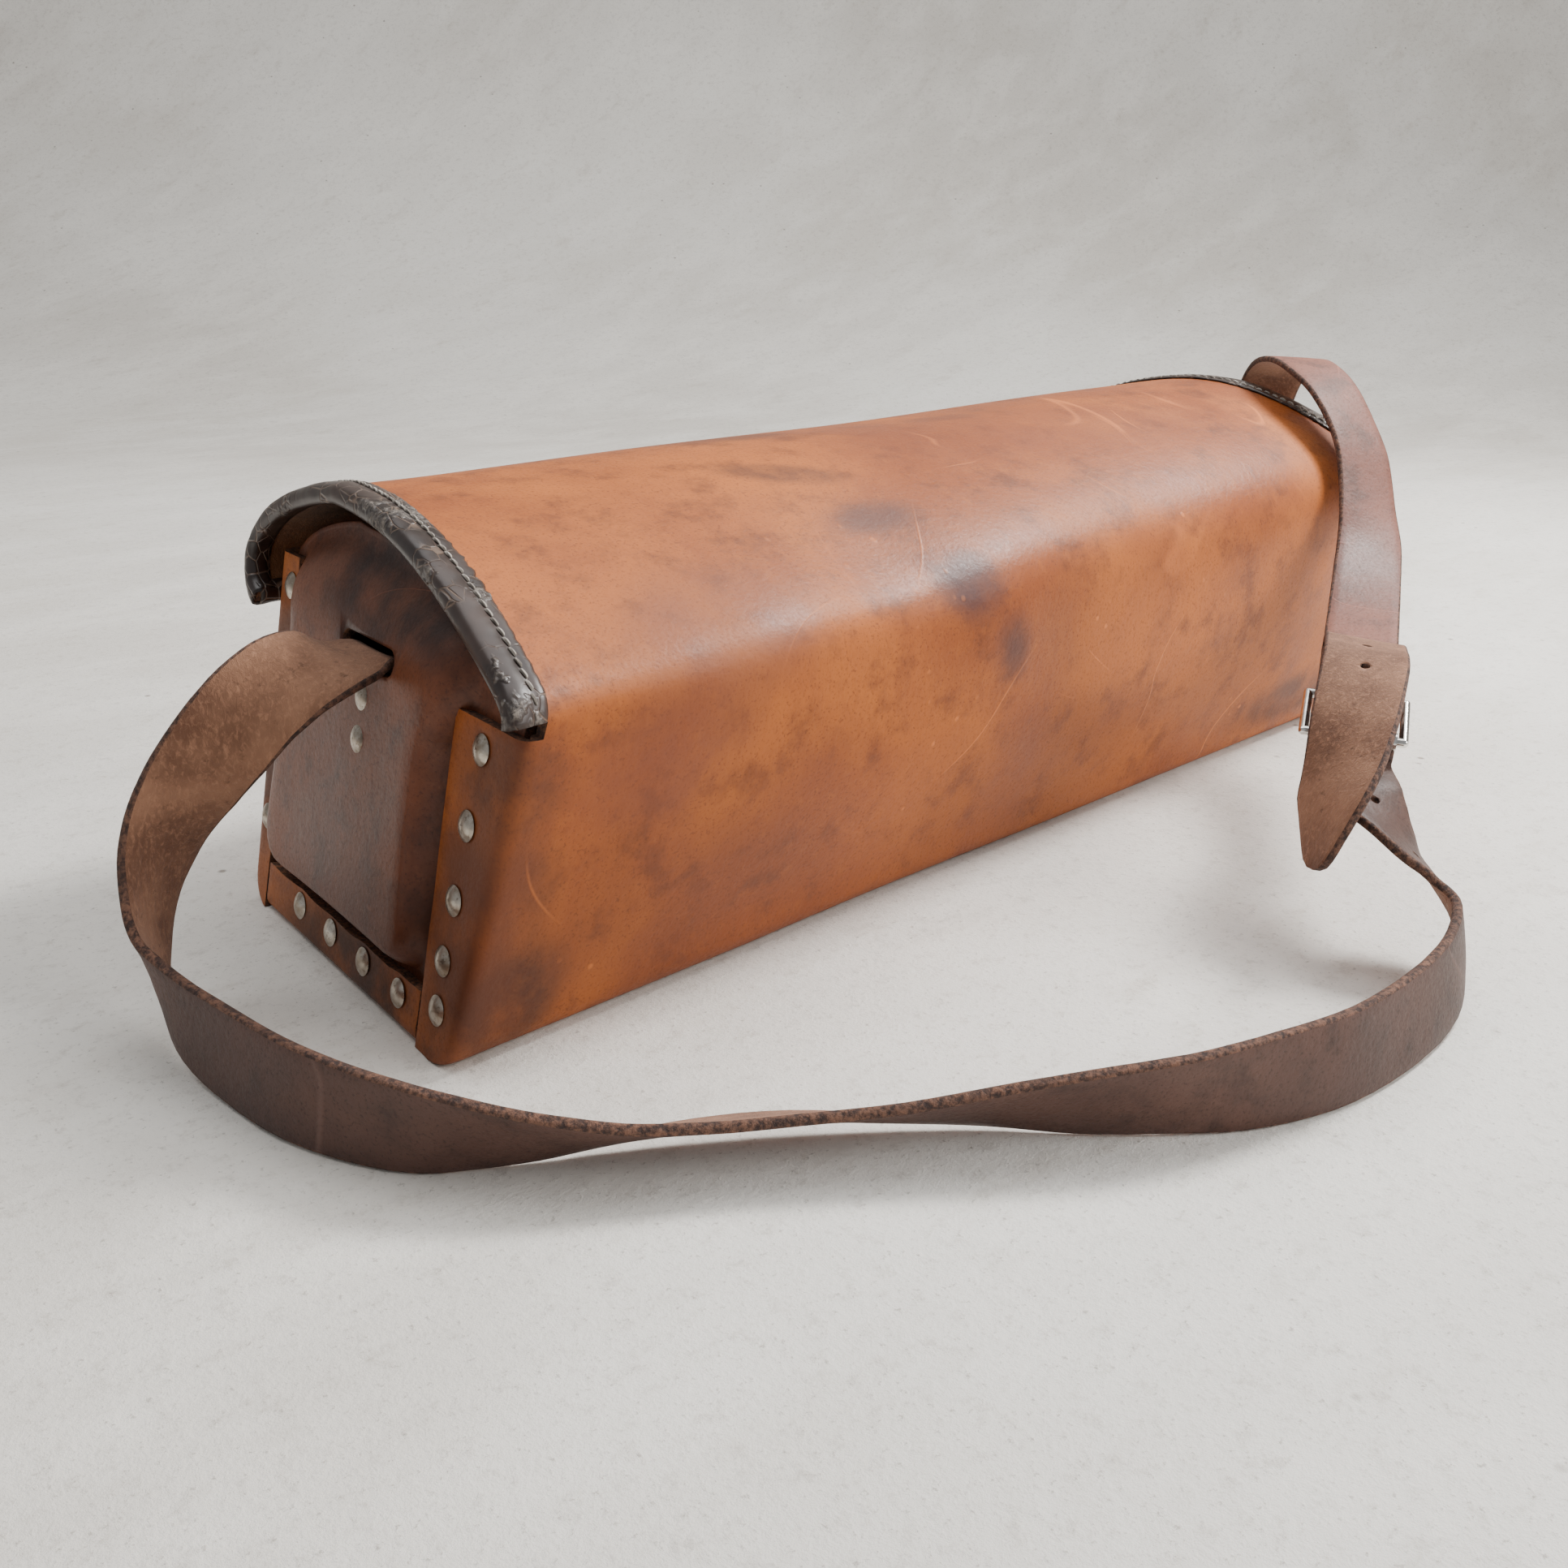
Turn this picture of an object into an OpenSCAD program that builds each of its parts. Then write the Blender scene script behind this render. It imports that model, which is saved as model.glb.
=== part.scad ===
// Long leather ball bag: a folded leather tub with riveted end panels, a domed lid that
// flexes open along the back wall, two turn-lock closures and a buckled shoulder strap.
// X runs along the bag, -Y is the back wall that carries the lid, +Y is the opening side,
// Z is up. The origin is the middle of the footprint, on the surface the bag stands on.

/* [Bag] */
// Length of the bag along its bottom edge
bag_length = 567; // [540:1:600]
// Distance from the centre line to the foot of the back wall
back_foot = 83; // [81:0.5:84]
// Distance from the centre line to the foot of the front wall
front_foot = 87; // [86:0.5:88]
// Height of the back wall up to the lid's flex line
hinge_height = 119; // [118:0.5:120]
// How far the back wall leans out by the flex line
back_flare = 22; // [21.5:0.5:22.5]
// How far the front wall leans out by its top edge
front_flare = 5; // [4.5:0.5:5]
// Height of the front wall's top edge
front_height = 133; // [131:0.5:134]
// Thickness of the leather
leather = 4; // [3.8:0.1:4]
// Angle that both ends lean in by
end_lean = 12.4; // [11:0.2:13]
// Angle that the left end is skewed by in plan
end_skew = 6; // [0:0.5:6]

/* [Lid] */
// Half the width of the lid's dome
dome_half = 108; // [107.5:0.5:109]
// Height of the dome above its widest line
dome_rise = 38; // [37:0.5:40]
// How far the lid stands past the end panels
lid_overhang = 6; // [5:0.5:8]
// Radius of the lip that curls in over the front wall
lip_radius = 15; // [14:0.5:16]
// Thickness of the dark binding on the lid's edges
binding = 1.3; // [1:0.1:1.5]
// Width of the binding measured from the edge
binding_width = 8; // [7:0.5:10]

/* [End panels] */
// Height of the bottom flange
flange_bottom = 18; // [18:0.5:22]
// How far the panel bulges out past the flanges
panel_bulge = 7; // [6:0.5:8]

/* [Rivets] */
// Diameter of a rivet's domed head
rivet_head = 10; // [9:0.5:10.5]
// Diameter of a rivet's shank
rivet_shank = 4; // [3.5:0.1:4.2]

/* [Strap] */
// Width of the shoulder strap
strap_w = 31; // [29:0.5:31]
// Thickness of the shoulder strap
strap_t = 3.4; // [2.8:0.1:3.4]

/* [Buckle] */
// Outer width of the buckle
buckle_w = 40; // [39.5:0.5:41]
// Distance between the heel bar and the front bar
buckle_l = 26; // [25.5:0.5:27]
// Diameter of the buckle's wire
wire_d = 3.6; // [3.4:0.1:3.8]

/* [Closures] */
// Distance of each closure from the middle of the bag
lock_x = 125; // [90:5:160]
// Length of the closure tab below its flex line
tab_length = 52; // [50:1:54]
// Width of a closure tab
tab_w = 30; // [28:1:32]

/* [Hidden] */

half_len = bag_length / 2;
panel_t = leather;
widest_z = 127;
back_slope = 1.25;
foot_r = 12;
gap = 0.3;
big = 400;
dome_inner = dome_half - leather;
lip_angle = 75;
lip_y = dome_half - lip_radius;
hinge_y = -(back_foot + back_flare);

// Outline of the tub in the YZ plane, inset by t, with flat tops at the given heights.
function back_y(z) = -(back_foot + back_flare * z / hinge_height);
function front_y(z) = front_foot + front_flare * z / front_height;
function arc(cy, cz, r, a0, a1, steps) =
    [for (i = [0:steps]) let (a = a0 + (a1 - a0) * i / steps) [cy + r * cos(a), cz + r * sin(a)]];
function tub_outline(t, back_top, front_top) = concat(
    [[back_y(back_top) + t, back_top]],
    arc(back_y(foot_r) + foot_r, foot_r, foot_r - t, 180, 270, 8),
    arc(front_y(foot_r) - foot_r, foot_r, foot_r - t, 270, 360, 8),
    [[front_y(front_top) - t, front_top]]);

// A place on the dome, out past its outer face; its back half is worn to a flatter slope.
function dome_point(a, out) = let (worn = cos(a) < 0 ? back_slope : 1) [
    (dome_half + out) * sign(cos(a)) * pow(abs(cos(a)), worn),
    widest_z + (dome_rise + out) * pow(sin(a), worn)];

// Outline of the lid in the YZ plane at the depth t inside its outer face.
function lid_line(t) = concat(
    [[hinge_y + t, hinge_height + gap]],
    [for (a = [180:-6:0]) dome_point(a, -t)],
    arc(lip_y, widest_z, lip_radius - t, -9, -lip_angle, 6));
function reversed(list) = [for (i = [len(list) - 1:-1:0]) list[i]];
function lid_band(outer, inner) = concat(lid_line(outer), reversed(lid_line(inner)));

// The plane of an end: a point at height z and place y, w outwards from the flange's face.
function skew_of(side) = side < 0 ? end_skew : 0;
function end_point(side, y, z, w) = let (s = skew_of(side)) [
    side * (half_len - tan(s) * (y + back_foot) - tan(end_lean) / cos(s) * z
        + w * cos(end_lean) * cos(s)),
    y + w * cos(end_lean) * sin(s),
    z + w * sin(end_lean)];
// The same point in the end's own axes, across and up.
function on_end(side, y, z) = let (s = skew_of(side)) [
    (y + back_foot + z * tan(end_lean) * sin(s)) / cos(s), z / cos(end_lean)];

// Puts X across, Y up and Z outwards on the face of an end's flanges.
module end_frame(side) {
    mirror([side < 0 ? 1 : 0, 0, 0])
    translate([half_len, -back_foot, 0])
    rotate([0, 0, skew_of(side)])
    rotate([0, -end_lean, 0])
    rotate([90, 0, 90])
        children();
}

// Everything further out than w from the face of an end's flanges.
module beyond_end(side, w) {
    end_frame(side)
    translate([-big / 2, -big / 2, w])
        cube([big * 1.5, big * 1.5, big / 2]);
}

module along_x(outline, length) {
    rotate([90, 0, 90])
    translate([0, 0, -length / 2])
    linear_extrude(length)
        polygon(outline);
}

// Rivet places on an end, as [y, z]: up the back flange, along the bottom, up the front.
rivet_places = concat(
    [[-71, 17], [-71, 33], [-73, 53], [-75, 77], [-78, 101]],
    [for (y = [-44:28:40]) [y, 12]],
    [for (z = [34:29:121]) [78.5, z]]);
slot_middle = -8;
strap_rivet_places = [[slot_middle, 100], [slot_middle, 86]];

// Opening between the flanges of an end, as [y, z] points.
flange_opening = [[-60, flange_bottom + 6], [-54, flange_bottom], [64, flange_bottom],
    [71, flange_bottom + 8], [72, 170], [-62, 170]];

module end_opening(side) {
    end_frame(side)
    translate([0, 0, -2 * leather])
    linear_extrude(4 * leather)
        polygon([for (p = flange_opening) on_end(side, p[0], p[1])]);
}

// A round hole or shank of diameter d on an end, from w0 to w1.
module end_pins(side, places, d, w0, w1) {
    for (p = places)
        end_frame(side)
        translate(concat(on_end(side, p[0], p[1]), w0))
            cylinder(h = w1 - w0, d = d, $fn = 32);
}

// Wall frame: X along the bag, Y up the front wall, Z outwards, at height z.
wall_lean = atan(front_flare / front_height);
lock_z = 86;
module front_frame(x, z) {
    translate([x, front_y(z), z])
    rotate([90 + wall_lean, 0, 180])
        children();
}

// ---- leather shell ----

module body() {
    color("chocolate")
    difference() {
        along_x(tub_outline(0, hinge_height, front_height), 2 * big);
        for (side = [-1, 1]) {
            beyond_end(side, 0);
            end_opening(side);
            end_pins(side, rivet_places, rivet_shank, -10, 2);
        }
        difference() {
            along_x(tub_outline(leather, hinge_height + 40, front_height + 40), 2 * big);
            beyond_end(-1, -leather);
            beyond_end(1, -leather);
        }
        for (x = [-lock_x, lock_x])
            front_frame(x, lock_z)
            translate([0, 0, -leather - 2])
                cylinder(h = leather + 4, d = knob_shank + 0.1, $fn = 32);
    }
}

module lid() {
    color("peru")
    difference() {
        along_x(lid_band(0, leather), 2 * big);
        beyond_end(-1, lid_overhang);
        beyond_end(1, lid_overhang);
        for (x = [-lock_x, lock_x])
            tab_rivet_frames(x)
            translate([0, 0, -leather - 3])
                cylinder(h = leather + 6, d = tab_shank, $fn = 24);
    }
}

// The panel's rim lies behind the flanges; its middle bulges out between them.
panel_top = 27;
function panel_outline(inset) = concat(
    [[-74 + inset, 7 + inset], [-80 + inset, 14 + inset], [-96 + inset, widest_z - 12]],
    [for (a = [174:-12:6]) [-4 + (91 - inset) * cos(a), widest_z + (panel_top - inset) * sin(a)]],
    [[84 - inset, widest_z - 12], [80 - inset, 14 + inset], [74 - inset, 7 + inset]]);
function bulge_outline(inset) = concat(
    [[-56 + inset, flange_bottom + 9 + inset], [-50 + inset, flange_bottom + 3 + inset],
     [60 - inset, flange_bottom + 3 + inset], [68 - inset, flange_bottom + 11 + inset]],
    [for (a = [12:12:168]) [5 + (63 - inset) * cos(a), widest_z + (panel_top - 2 - inset) * sin(a)]]);
function to_end(side, outline) = [for (p = outline) on_end(side, p[0], p[1])];

// A dished block whose foot is the bulge outline and whose top is narrower.
module dish(side, inset, w0, w1, shrink) {
    hull() {
        end_frame(side)
        translate([0, 0, w0])
        linear_extrude(0.5)
            polygon(to_end(side, bulge_outline(inset)));
        end_frame(side)
        translate([0, 0, w1 - 0.5])
        linear_extrude(0.5)
            polygon(to_end(side, bulge_outline(inset + shrink)));
    }
}

slot_y = [slot_middle - 21, slot_middle + 21];
slot_z = [110, 119];
module end_panel(side) {
    color("saddlebrown")
    difference() {
        union() {
            end_frame(side)
            translate([0, 0, -leather - panel_t])
            linear_extrude(panel_t)
                polygon(to_end(side, panel_outline(0)));
            dish(side, 0, -leather - 1, panel_bulge, 8);
        }
        dish(side, panel_t, -leather - panel_t - 1, panel_bulge - panel_t, 8);
        end_pins(side, rivet_places, rivet_shank, -14, 2);
        end_pins(side, strap_rivet_places, rivet_shank, -2, 12);
        end_frame(side)
        translate([0, 0, -10])
        linear_extrude(30)
            polygon(to_end(side, [[slot_y[0], slot_z[0]], [slot_y[1], slot_z[0]],
                [slot_y[1], slot_z[1]], [slot_y[0], slot_z[1]]]));
    }
}

// Binding folded over the lid's end: a strip outside, a strip inside and the edge.
module binding_end(side) {
    color("black")
    difference() {
        along_x(lid_band(-binding, leather + binding), 2 * big);
        beyond_end(side, lid_overhang + binding);
        end_frame(side)
        translate([-big / 2, -big / 2, lid_overhang - binding_width - 2 * big])
            cube([big * 1.5, big * 1.5, 2 * big]);
        difference() {
            along_x(lid_band(0, leather), 2 * big);
            beyond_end(side, lid_overhang);
        }
        // the ends of the binding stop at the flex line and short of the front binding
        translate([-big, hinge_y - 20, 0])
            cube([2 * big, 40, hinge_height + gap + 0.2]);
        along_x(front_strip(binding + 0.1, 1.2), 2 * big);
    }
}

// Cross-section of the front binding around the curled lip, grown by extra.
function front_strip(extra, reach) = concat(
    arc(lip_y, widest_z, lip_radius + extra, -lip_angle - 5 * reach, -lip_angle + 32, 6),
    arc(lip_y, widest_z, lip_radius - leather - extra, -lip_angle + 32, -lip_angle - 5 * reach, 6));
module binding_front() {
    color("black")
    difference() {
        along_x(front_strip(binding, 1), 2 * big);
        along_x(lid_band(0, leather), 2 * big);
        beyond_end(-1, lid_overhang);
        beyond_end(1, lid_overhang);
    }
}

// ---- rivets ----

// Domed head on +Z with its flat underside at z = 0.
module rivet_dome(d, h) {
    ball = (d * d / 4 + h * h) / (2 * h);
    intersection() {
        translate([0, 0, h - ball])
            sphere(r = ball, $fn = 48);
        cylinder(h = h + 1, d = d + 1, $fn = 48);
    }
}

module rivets_on_end(side, places, face_w, inner_w) {
    color("silver")
    for (p = places)
        end_frame(side)
        translate(on_end(side, p[0], p[1])) {
            translate([0, 0, face_w])
                rivet_dome(rivet_head, 1.7);
            translate([0, 0, inner_w])
                cylinder(h = face_w - inner_w + 0.5, d = rivet_shank, $fn = 32);
        }
}

module burrs_on_end(side, places, inner_w) {
    color("gray")
    for (p = places)
        end_frame(side)
        translate(concat(on_end(side, p[0], p[1]), inner_w))
            difference() {
                cylinder(h = burr_t, d = burr_d, $fn = 32);
                translate([0, 0, -1])
                    cylinder(h = burr_t + 2, d = rivet_shank, $fn = 32);
            }
}
burr_t = 1;
burr_d = 8;
rim_back = -leather - panel_t;
sheet_back = panel_bulge - panel_t;
anchor_back = sheet_back - gap - strap_t;

// ---- shoulder strap ----

// The buckle's heel bar: its middle, the way along the strap, across it and out of it.
heel = [68, -192, 75];
buckle_along = unit([0.85, 0.42, 0.31]);
buckle_across = square_to([-0.45, 0.89, 0.03], buckle_along);
buckle_up = cross(buckle_along, buckle_across);
function buckle_point(s, w, n) =
    heel + s * buckle_along + w * buckle_across + n * buckle_up;

// The straps lie on routes of hand-set points; each has a place and the direction across
// the strap towards the edge that is uppermost where the strap stands on the floor.
across_left = [0.1, 1, 0];
long_route = [
    [end_point(-1, slot_middle, 76, anchor_back + strap_t / 2), across_left],
    [end_point(-1, slot_middle, 92, anchor_back + strap_t / 2), across_left],
    [end_point(-1, slot_middle, 104, anchor_back + strap_t / 2), across_left],
    [end_point(-1, slot_middle, 110.4, anchor_back + strap_t / 2 + 0.3), across_left],
    [end_point(-1, slot_middle, 113.6, anchor_back + strap_t / 2 + 2.2), across_left],
    [end_point(-1, slot_middle, 114.4, anchor_back + strap_t / 2 + 6), across_left],
    [[-264.6, -9, 116], [-0.1, 1, 0.15]],
    [[-273.4, -12, 117], [-0.3, 0.85, 0.4]],
    [[-286, -12.5, 115], [-0.4, 0.7, 0.6]],
    [[-298, -11, 108], [-0.55, 0.55, 0.65]],
    [[-308, -7, 97], [-0.7, 0.35, 0.6]],
    [[-315, 0, 85], [-0.85, 0.2, 0.5]],
    [[-321, 6, 73], [-0.9, -0.05, 0.4]],
    [[-326, 10, 60], [-0.9, -0.3, 0.3]],
    [[-331, 10, 46], [-0.75, -0.55, 0.35]],
    [[-335, 5, 33], [-0.55, -0.6, 0.55]],
    [[-338, -6, 23], [-0.25, -0.45, 0.85]],
    [[-339, -26, 18], [0, -0.2, 1]],
    [[-337, -52, 16], [0.1, 0, 1]],
    [[-334, -79, 16], [0.1, 0, 1]],
    [[-327, -103, 16], [0, 0, 1]],
    [[-317, -124, 16], [-0.1, -0.2, 1]],
    [[-304, -138, 15], [-0.25, -0.4, 0.9]],
    [[-290, -150, 14], [-0.35, -0.55, 0.75]],
    [[-275, -160, 13], [-0.45, -0.65, 0.6]],
    [[-256, -172, 13], [-0.5, -0.7, 0.5]],
    [[-234, -187, 13], [-0.5, -0.7, 0.5]],
    [[-211, -205, 13], [-0.5, -0.6, 0.6]],
    [[-190, -222, 14], [-0.5, -0.45, 0.75]],
    [[-170, -240, 15], [-0.35, -0.3, 0.9]],
    [[-148, -257, 16], [-0.2, -0.2, 0.95]],
    [[-121, -271, 16], [0, 0, 1]],
    [[-90, -280, 16], [0, 0.1, 1]],
    [[-55, -282, 16], [0, 0.15, 1]],
    [[-22, -279, 17], [-0.15, 0.15, 0.95]],
    [[1, -271, 21], [-0.4, 0, 0.9]],
    [[12, -262, 27], [-0.75, -0.1, 0.65]],
    [[15, -252, 34], [-0.85, -0.2, 0.45]],
    [[15, -243, 40], [-0.9, -0.15, 0.35]],
    [[17, -235, 46], [-0.9, 0.1, 0.3]],
    [[20, -227, 51], [-0.85, 0.35, 0.2]],
    [[26, -218, 56], [-0.75, 0.6, 0.15]],
    [buckle_point(-34, 0, -8), buckle_across],
    [buckle_point(-25, 0, -5.8), buckle_across],
    [buckle_point(-13, 0, 0.6), buckle_across],
    [buckle_point(-4, 0, 6), buckle_across],
    [buckle_point(4, 0, 7.6), buckle_across],
    [buckle_point(14, 0, 5.8), buckle_across],
    [[91, -181, 83], [-0.5, 0.85, 0.1]],
    [[94.5, -179, 84.3], [-0.5, 0.85, 0.12]],
    [[95.8, -178.5, 87], [-0.5, 0.85, 0.14]],
    [[94, -179.5, 89.7], [-0.5, 0.85, 0.14]],
    [[88, -183, 90.6], [-0.5, 0.85, 0.12]],
    [[72, -191, 90.5], [-0.48, 0.86, 0.1]],
    [[54, -200, 90], [-0.4, 0.9, 0.05]],
    [[36, -208, 86], [-0.25, 0.95, 0]],
    [[19, -215, 79], [-0.1, 1, -0.1]],
    [[5, -220, 70], [0.05, 0.95, -0.25]],
    [[-5, -222, 59], [0.2, 0.9, -0.35]],
    [[-11, -223, 47], [0.35, 0.85, -0.4]],
    [[-14, -223, 36], [0.45, 0.8, -0.4]]];

short_route = [
    [[112, -171, 78.2], [-0.46, 0.88, 0.05]],
    [[98, -178, 75.4], [-0.46, 0.88, 0.05]],
    [buckle_point(12, 0, -2.6), buckle_across],
    [buckle_point(3, 0, -3.8), buckle_across],
    [buckle_point(-0.6, 0, -3.75), buckle_across],
    [buckle_point(-2.8, 0, -2.6), buckle_across],
    [buckle_point(-3.8, 0, 0), buckle_across],
    [buckle_point(-2.8, 0, 2.6), buckle_across],
    [buckle_point(-0.4, 0, 3.8), buckle_across],
    [buckle_point(4, 0, 3.9), buckle_across],
    [buckle_point(14, 0, 2), buckle_across],
    [[93, -180, 78.6], [-0.46, 0.88, 0.05]],
    [[108, -172.5, 80.6], [-0.46, 0.88, 0.05]],
    [[121, -166, 83], [-0.45, 0.89, 0.05]],
    [[147, -153, 91], [-0.45, 0.9, 0.1]],
    [[171, -141, 101], [-0.5, 0.85, 0.2]],
    [[190, -131, 112], [-0.6, 0.75, 0.25]],
    [[203, -122, 124], [-0.75, 0.6, 0.3]],
    [[213, -114, 136], [-0.85, 0.5, 0.25]],
    [[221, -106, 148], [-0.9, 0.45, 0.2]],
    [[229, -94, 161], [-0.9, 0.4, 0.15]],
    [[237, -80, 173], [-0.9, 0.45, 0.1]],
    [[246, -64, 181], [-0.85, 0.55, 0.05]],
    [[257, -48, 184], [-0.8, 0.6, 0.05]],
    [[269, -33, 180], [-0.75, 0.65, 0.15]],
    [[279.5, -22, 170], [-0.65, 0.7, 0.3]],
    [[285.5, -15, 157], [-0.5, 0.75, 0.4]],
    [[286, -10, 143], [-0.35, 0.8, 0.45]],
    [[282, -8.5, 130], [-0.2, 0.9, 0.4]],
    [[273, -8, 120], [-0.1, 1, 0.2]],
    [end_point(1, slot_middle, 114.4, anchor_back + strap_t / 2 + 6), [0, 1, 0]],
    [end_point(1, slot_middle, 113.6, anchor_back + strap_t / 2 + 2.2), [0, 1, 0]],
    [end_point(1, slot_middle, 110.4, anchor_back + strap_t / 2 + 0.3), [0, 1, 0]],
    [end_point(1, slot_middle, 104, anchor_back + strap_t / 2), [0, 1, 0]],
    [end_point(1, slot_middle, 92, anchor_back + strap_t / 2), [0, 1, 0]],
    [end_point(1, slot_middle, 76, anchor_back + strap_t / 2), [0, 1, 0]]];

// Smooth curve through a list of vectors, n steps between neighbours.
function ahead(list, i) = list[min(max(i, 0), len(list) - 1)];
function between(a, b, c, d, t) = 0.5 * (2 * b + (c - a) * t
    + (2 * a - 5 * b + 4 * c - d) * t * t + (3 * b - a - 3 * c + d) * t * t * t);
function smooth(list, n) = concat(
    [for (i = [0:len(list) - 2]) for (k = [0:n - 1])
        between(ahead(list, i - 1), list[i], list[i + 1], ahead(list, i + 2), k / n)],
    [list[len(list) - 1]]);
function unit(v) = v / norm(v);
function square_to(v, t) = unit(v - (v * t) * t);

// A flat strap swept along a route, as one closed mesh with four corners a ring.
module strap(route, width, thickness, steps) {
    places = smooth([for (r = route) r[0]], steps);
    across = smooth([for (r = route) unit(r[1])], steps);
    count = len(places);
    corners = [for (i = [0:count - 1])
        let (t = unit(ahead(places, i + 1) - ahead(places, i - 1)),
             a = square_to(across[i], t) * width / 2,
             n = cross(t, unit(a)) * thickness / 2)
        each [places[i] - a - n, places[i] + a - n, places[i] + a + n, places[i] - a + n]];
    sides = [for (i = [0:count - 2]) for (k = [0:3])
        let (p = 4 * i + k, q = 4 * i + (k + 1) % 4)
        each [[p, q, p + 4], [q, q + 4, p + 4]]];
    last = 4 * (count - 1);
    polyhedron(points = corners, faces = concat(
        [[0, 2, 1], [0, 3, 2]], sides,
        [[last, last + 1, last + 2], [last, last + 2, last + 3]]));
}

module strap_long() {
    color("sienna")
    difference() {
        strap(long_route, strap_w, strap_t, 2);
        in_buckle(-10.3, 0, 2.2)
        rotate([0, prong_tilt, 0])
            cube([13, 5, 16], center = true);
        anchor_bores(-1);
    }
}

module strap_short() {
    color("brown")
    difference() {
        strap(short_route, strap_w - 1, short_t, 2);
        in_buckle(-1, 0, 0)
            cube([14, 7, 13], center = true);
        rivet_frame()
        translate([0, 0, -10])
            cylinder(h = 20, d = hollow_d, $fn = 32);
        anchor_bores(1);
    }
}
short_t = 3;

module anchor_bores(side) {
    end_pins(side, strap_rivet_places, rivet_shank, anchor_back - 4, sheet_back + 4);
}

// ---- buckle ----

// Turns X along the strap, Y across it and Z out of its face, at the buckle's heel bar.
module in_buckle(s, w, n) {
    multmatrix([
        [buckle_along[0], buckle_across[0], buckle_up[0], buckle_point(s, w, n)[0]],
        [buckle_along[1], buckle_across[1], buckle_up[1], buckle_point(s, w, n)[1]],
        [buckle_along[2], buckle_across[2], buckle_up[2], buckle_point(s, w, n)[2]],
        [0, 0, 0, 1]])
        children();
}
wire_r = wire_d / 2;
side_w = buckle_w / 2 - wire_r;
roller_r = 3.5;
running = 0.06;
roller_half = side_w - wire_r - 0.8;

module bar(s0, w0, s1, w1) {
    translate([s0, w0, 0])
    rotate([0, 0, atan2(w1 - w0, s1 - s0)])
    rotate([0, 90, 0])
        cylinder(h = norm([s1 - s0, w1 - w0]), r = wire_r, $fn = 32);
}

module buckle_frame() {
    color("lightgray")
    in_buckle(0, 0, 0)
    union() {
        bar(0, -side_w, 0, side_w);
        bar(-buckle_l, -side_w, -buckle_l, side_w);
        bar(-buckle_l, -side_w, 0, -side_w);
        bar(-buckle_l, side_w, 0, side_w);
        for (s = [-buckle_l, 0]) for (w = [-side_w, side_w])
            translate([s, w, 0])
                sphere(r = wire_r, $fn = 32);
    }
}

module buckle_roller() {
    color("whitesmoke")
    in_buckle(-buckle_l, -roller_half, 0)
    rotate([-90, 0, 0])
    difference() {
        cylinder(h = 2 * roller_half, r = roller_r, $fn = 48);
        translate([0, 0, -1])
            cylinder(h = 2 * roller_half + 2, r = wire_r + running, $fn = 48);
    }
}

// The prong's eye turns on the heel bar; its shaft rests on the roller.
prong_r = 1.5;
prong_tilt = 12;
eye_r = wire_r + running + 1.9;
module buckle_prong() {
    color("lightgray")
    in_buckle(0, 0, 0)
    difference() {
        union() {
            translate([0, -2.5, 0])
            rotate([-90, 0, 0])
                cylinder(h = 5, r = eye_r, $fn = 48);
            rotate([0, prong_tilt - 90, 0])
                cylinder(h = buckle_l + 5, r = prong_r, $fn = 32);
        }
        translate([0, -4, 0])
        rotate([-90, 0, 0])
            cylinder(h = 8, r = wire_r + running, $fn = 48);
    }
}

// Hollow rivet that closes the short strap's fold behind the heel bar.
hollow_d = 5;
module rivet_frame() {
    multmatrix([
        [0.87, buckle_across[0], -0.15, 107.5],
        [0.44, buckle_across[1], -0.12, -173],
        [0.14, buckle_across[2], 0.98, 79],
        [0, 0, 0, 1]])
        children();
}
module buckle_rivet() {
    color("gray")
    rivet_frame()
    difference() {
        union() {
            translate([0, 0, -4.6])
                cylinder(h = 9.2, d = hollow_d, $fn = 32);
            translate([0, 0, 3.6])
                cylinder(h = 1, d = 9, $fn = 32);
            translate([0, 0, -4.6])
                cylinder(h = 1, d = 9, $fn = 32);
        }
        translate([0, 0, -6])
            cylinder(h = 12, d = 3, $fn = 32);
    }
}

// ---- closures ----

knob_shank = 4;
plate_t = 1.2;
tab_t = 2.6;
tab_shank = 3;
flex_z = 126;
flex_gap = 1.3;
tab_y = dome_half + binding + 0.6;
eyelet_slot = [18, 10];

// Places on the dome where the tab's root is riveted, with Z along the dome's normal.
tab_rivet_turn = 24;
tab_rivet_tilt = atan2(sin(tab_rivet_turn) / dome_rise, cos(tab_rivet_turn) / dome_half);
module tab_rivet_frames(x) {
    for (dx = [-8, 8])
        translate([x + dx, dome_half * cos(tab_rivet_turn), widest_z + dome_rise * sin(tab_rivet_turn)])
        rotate([tab_rivet_tilt - 90, 0, 0])
            children();
}
module oval(w, h, t) {
    for (dx = [-1, 1])
        translate([dx * (w - h) / 2, 0, 0])
            cylinder(h = t, d = h, $fn = 48);
    translate([-(w - h) / 2, -h / 2, 0])
        cube([w - h, h, t]);
}

// Root of the tab, riveted on the dome above the flex line.
module tab_root(x) {
    color("sienna")
    difference() {
        translate([x, 0, 0])
            along_x(concat(dome_strip(gap), reversed(dome_strip(gap + tab_t))), tab_w);
        tab_rivet_frames(x)
        translate([0, 0, -6])
            cylinder(h = 14, d = tab_shank, $fn = 24);
    }
}
function dome_strip(out) = concat(
    [for (a = [36:-6:6]) dome_point(a, out)],
    [[tab_y + out - gap, flex_z + flex_gap]]);

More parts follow.
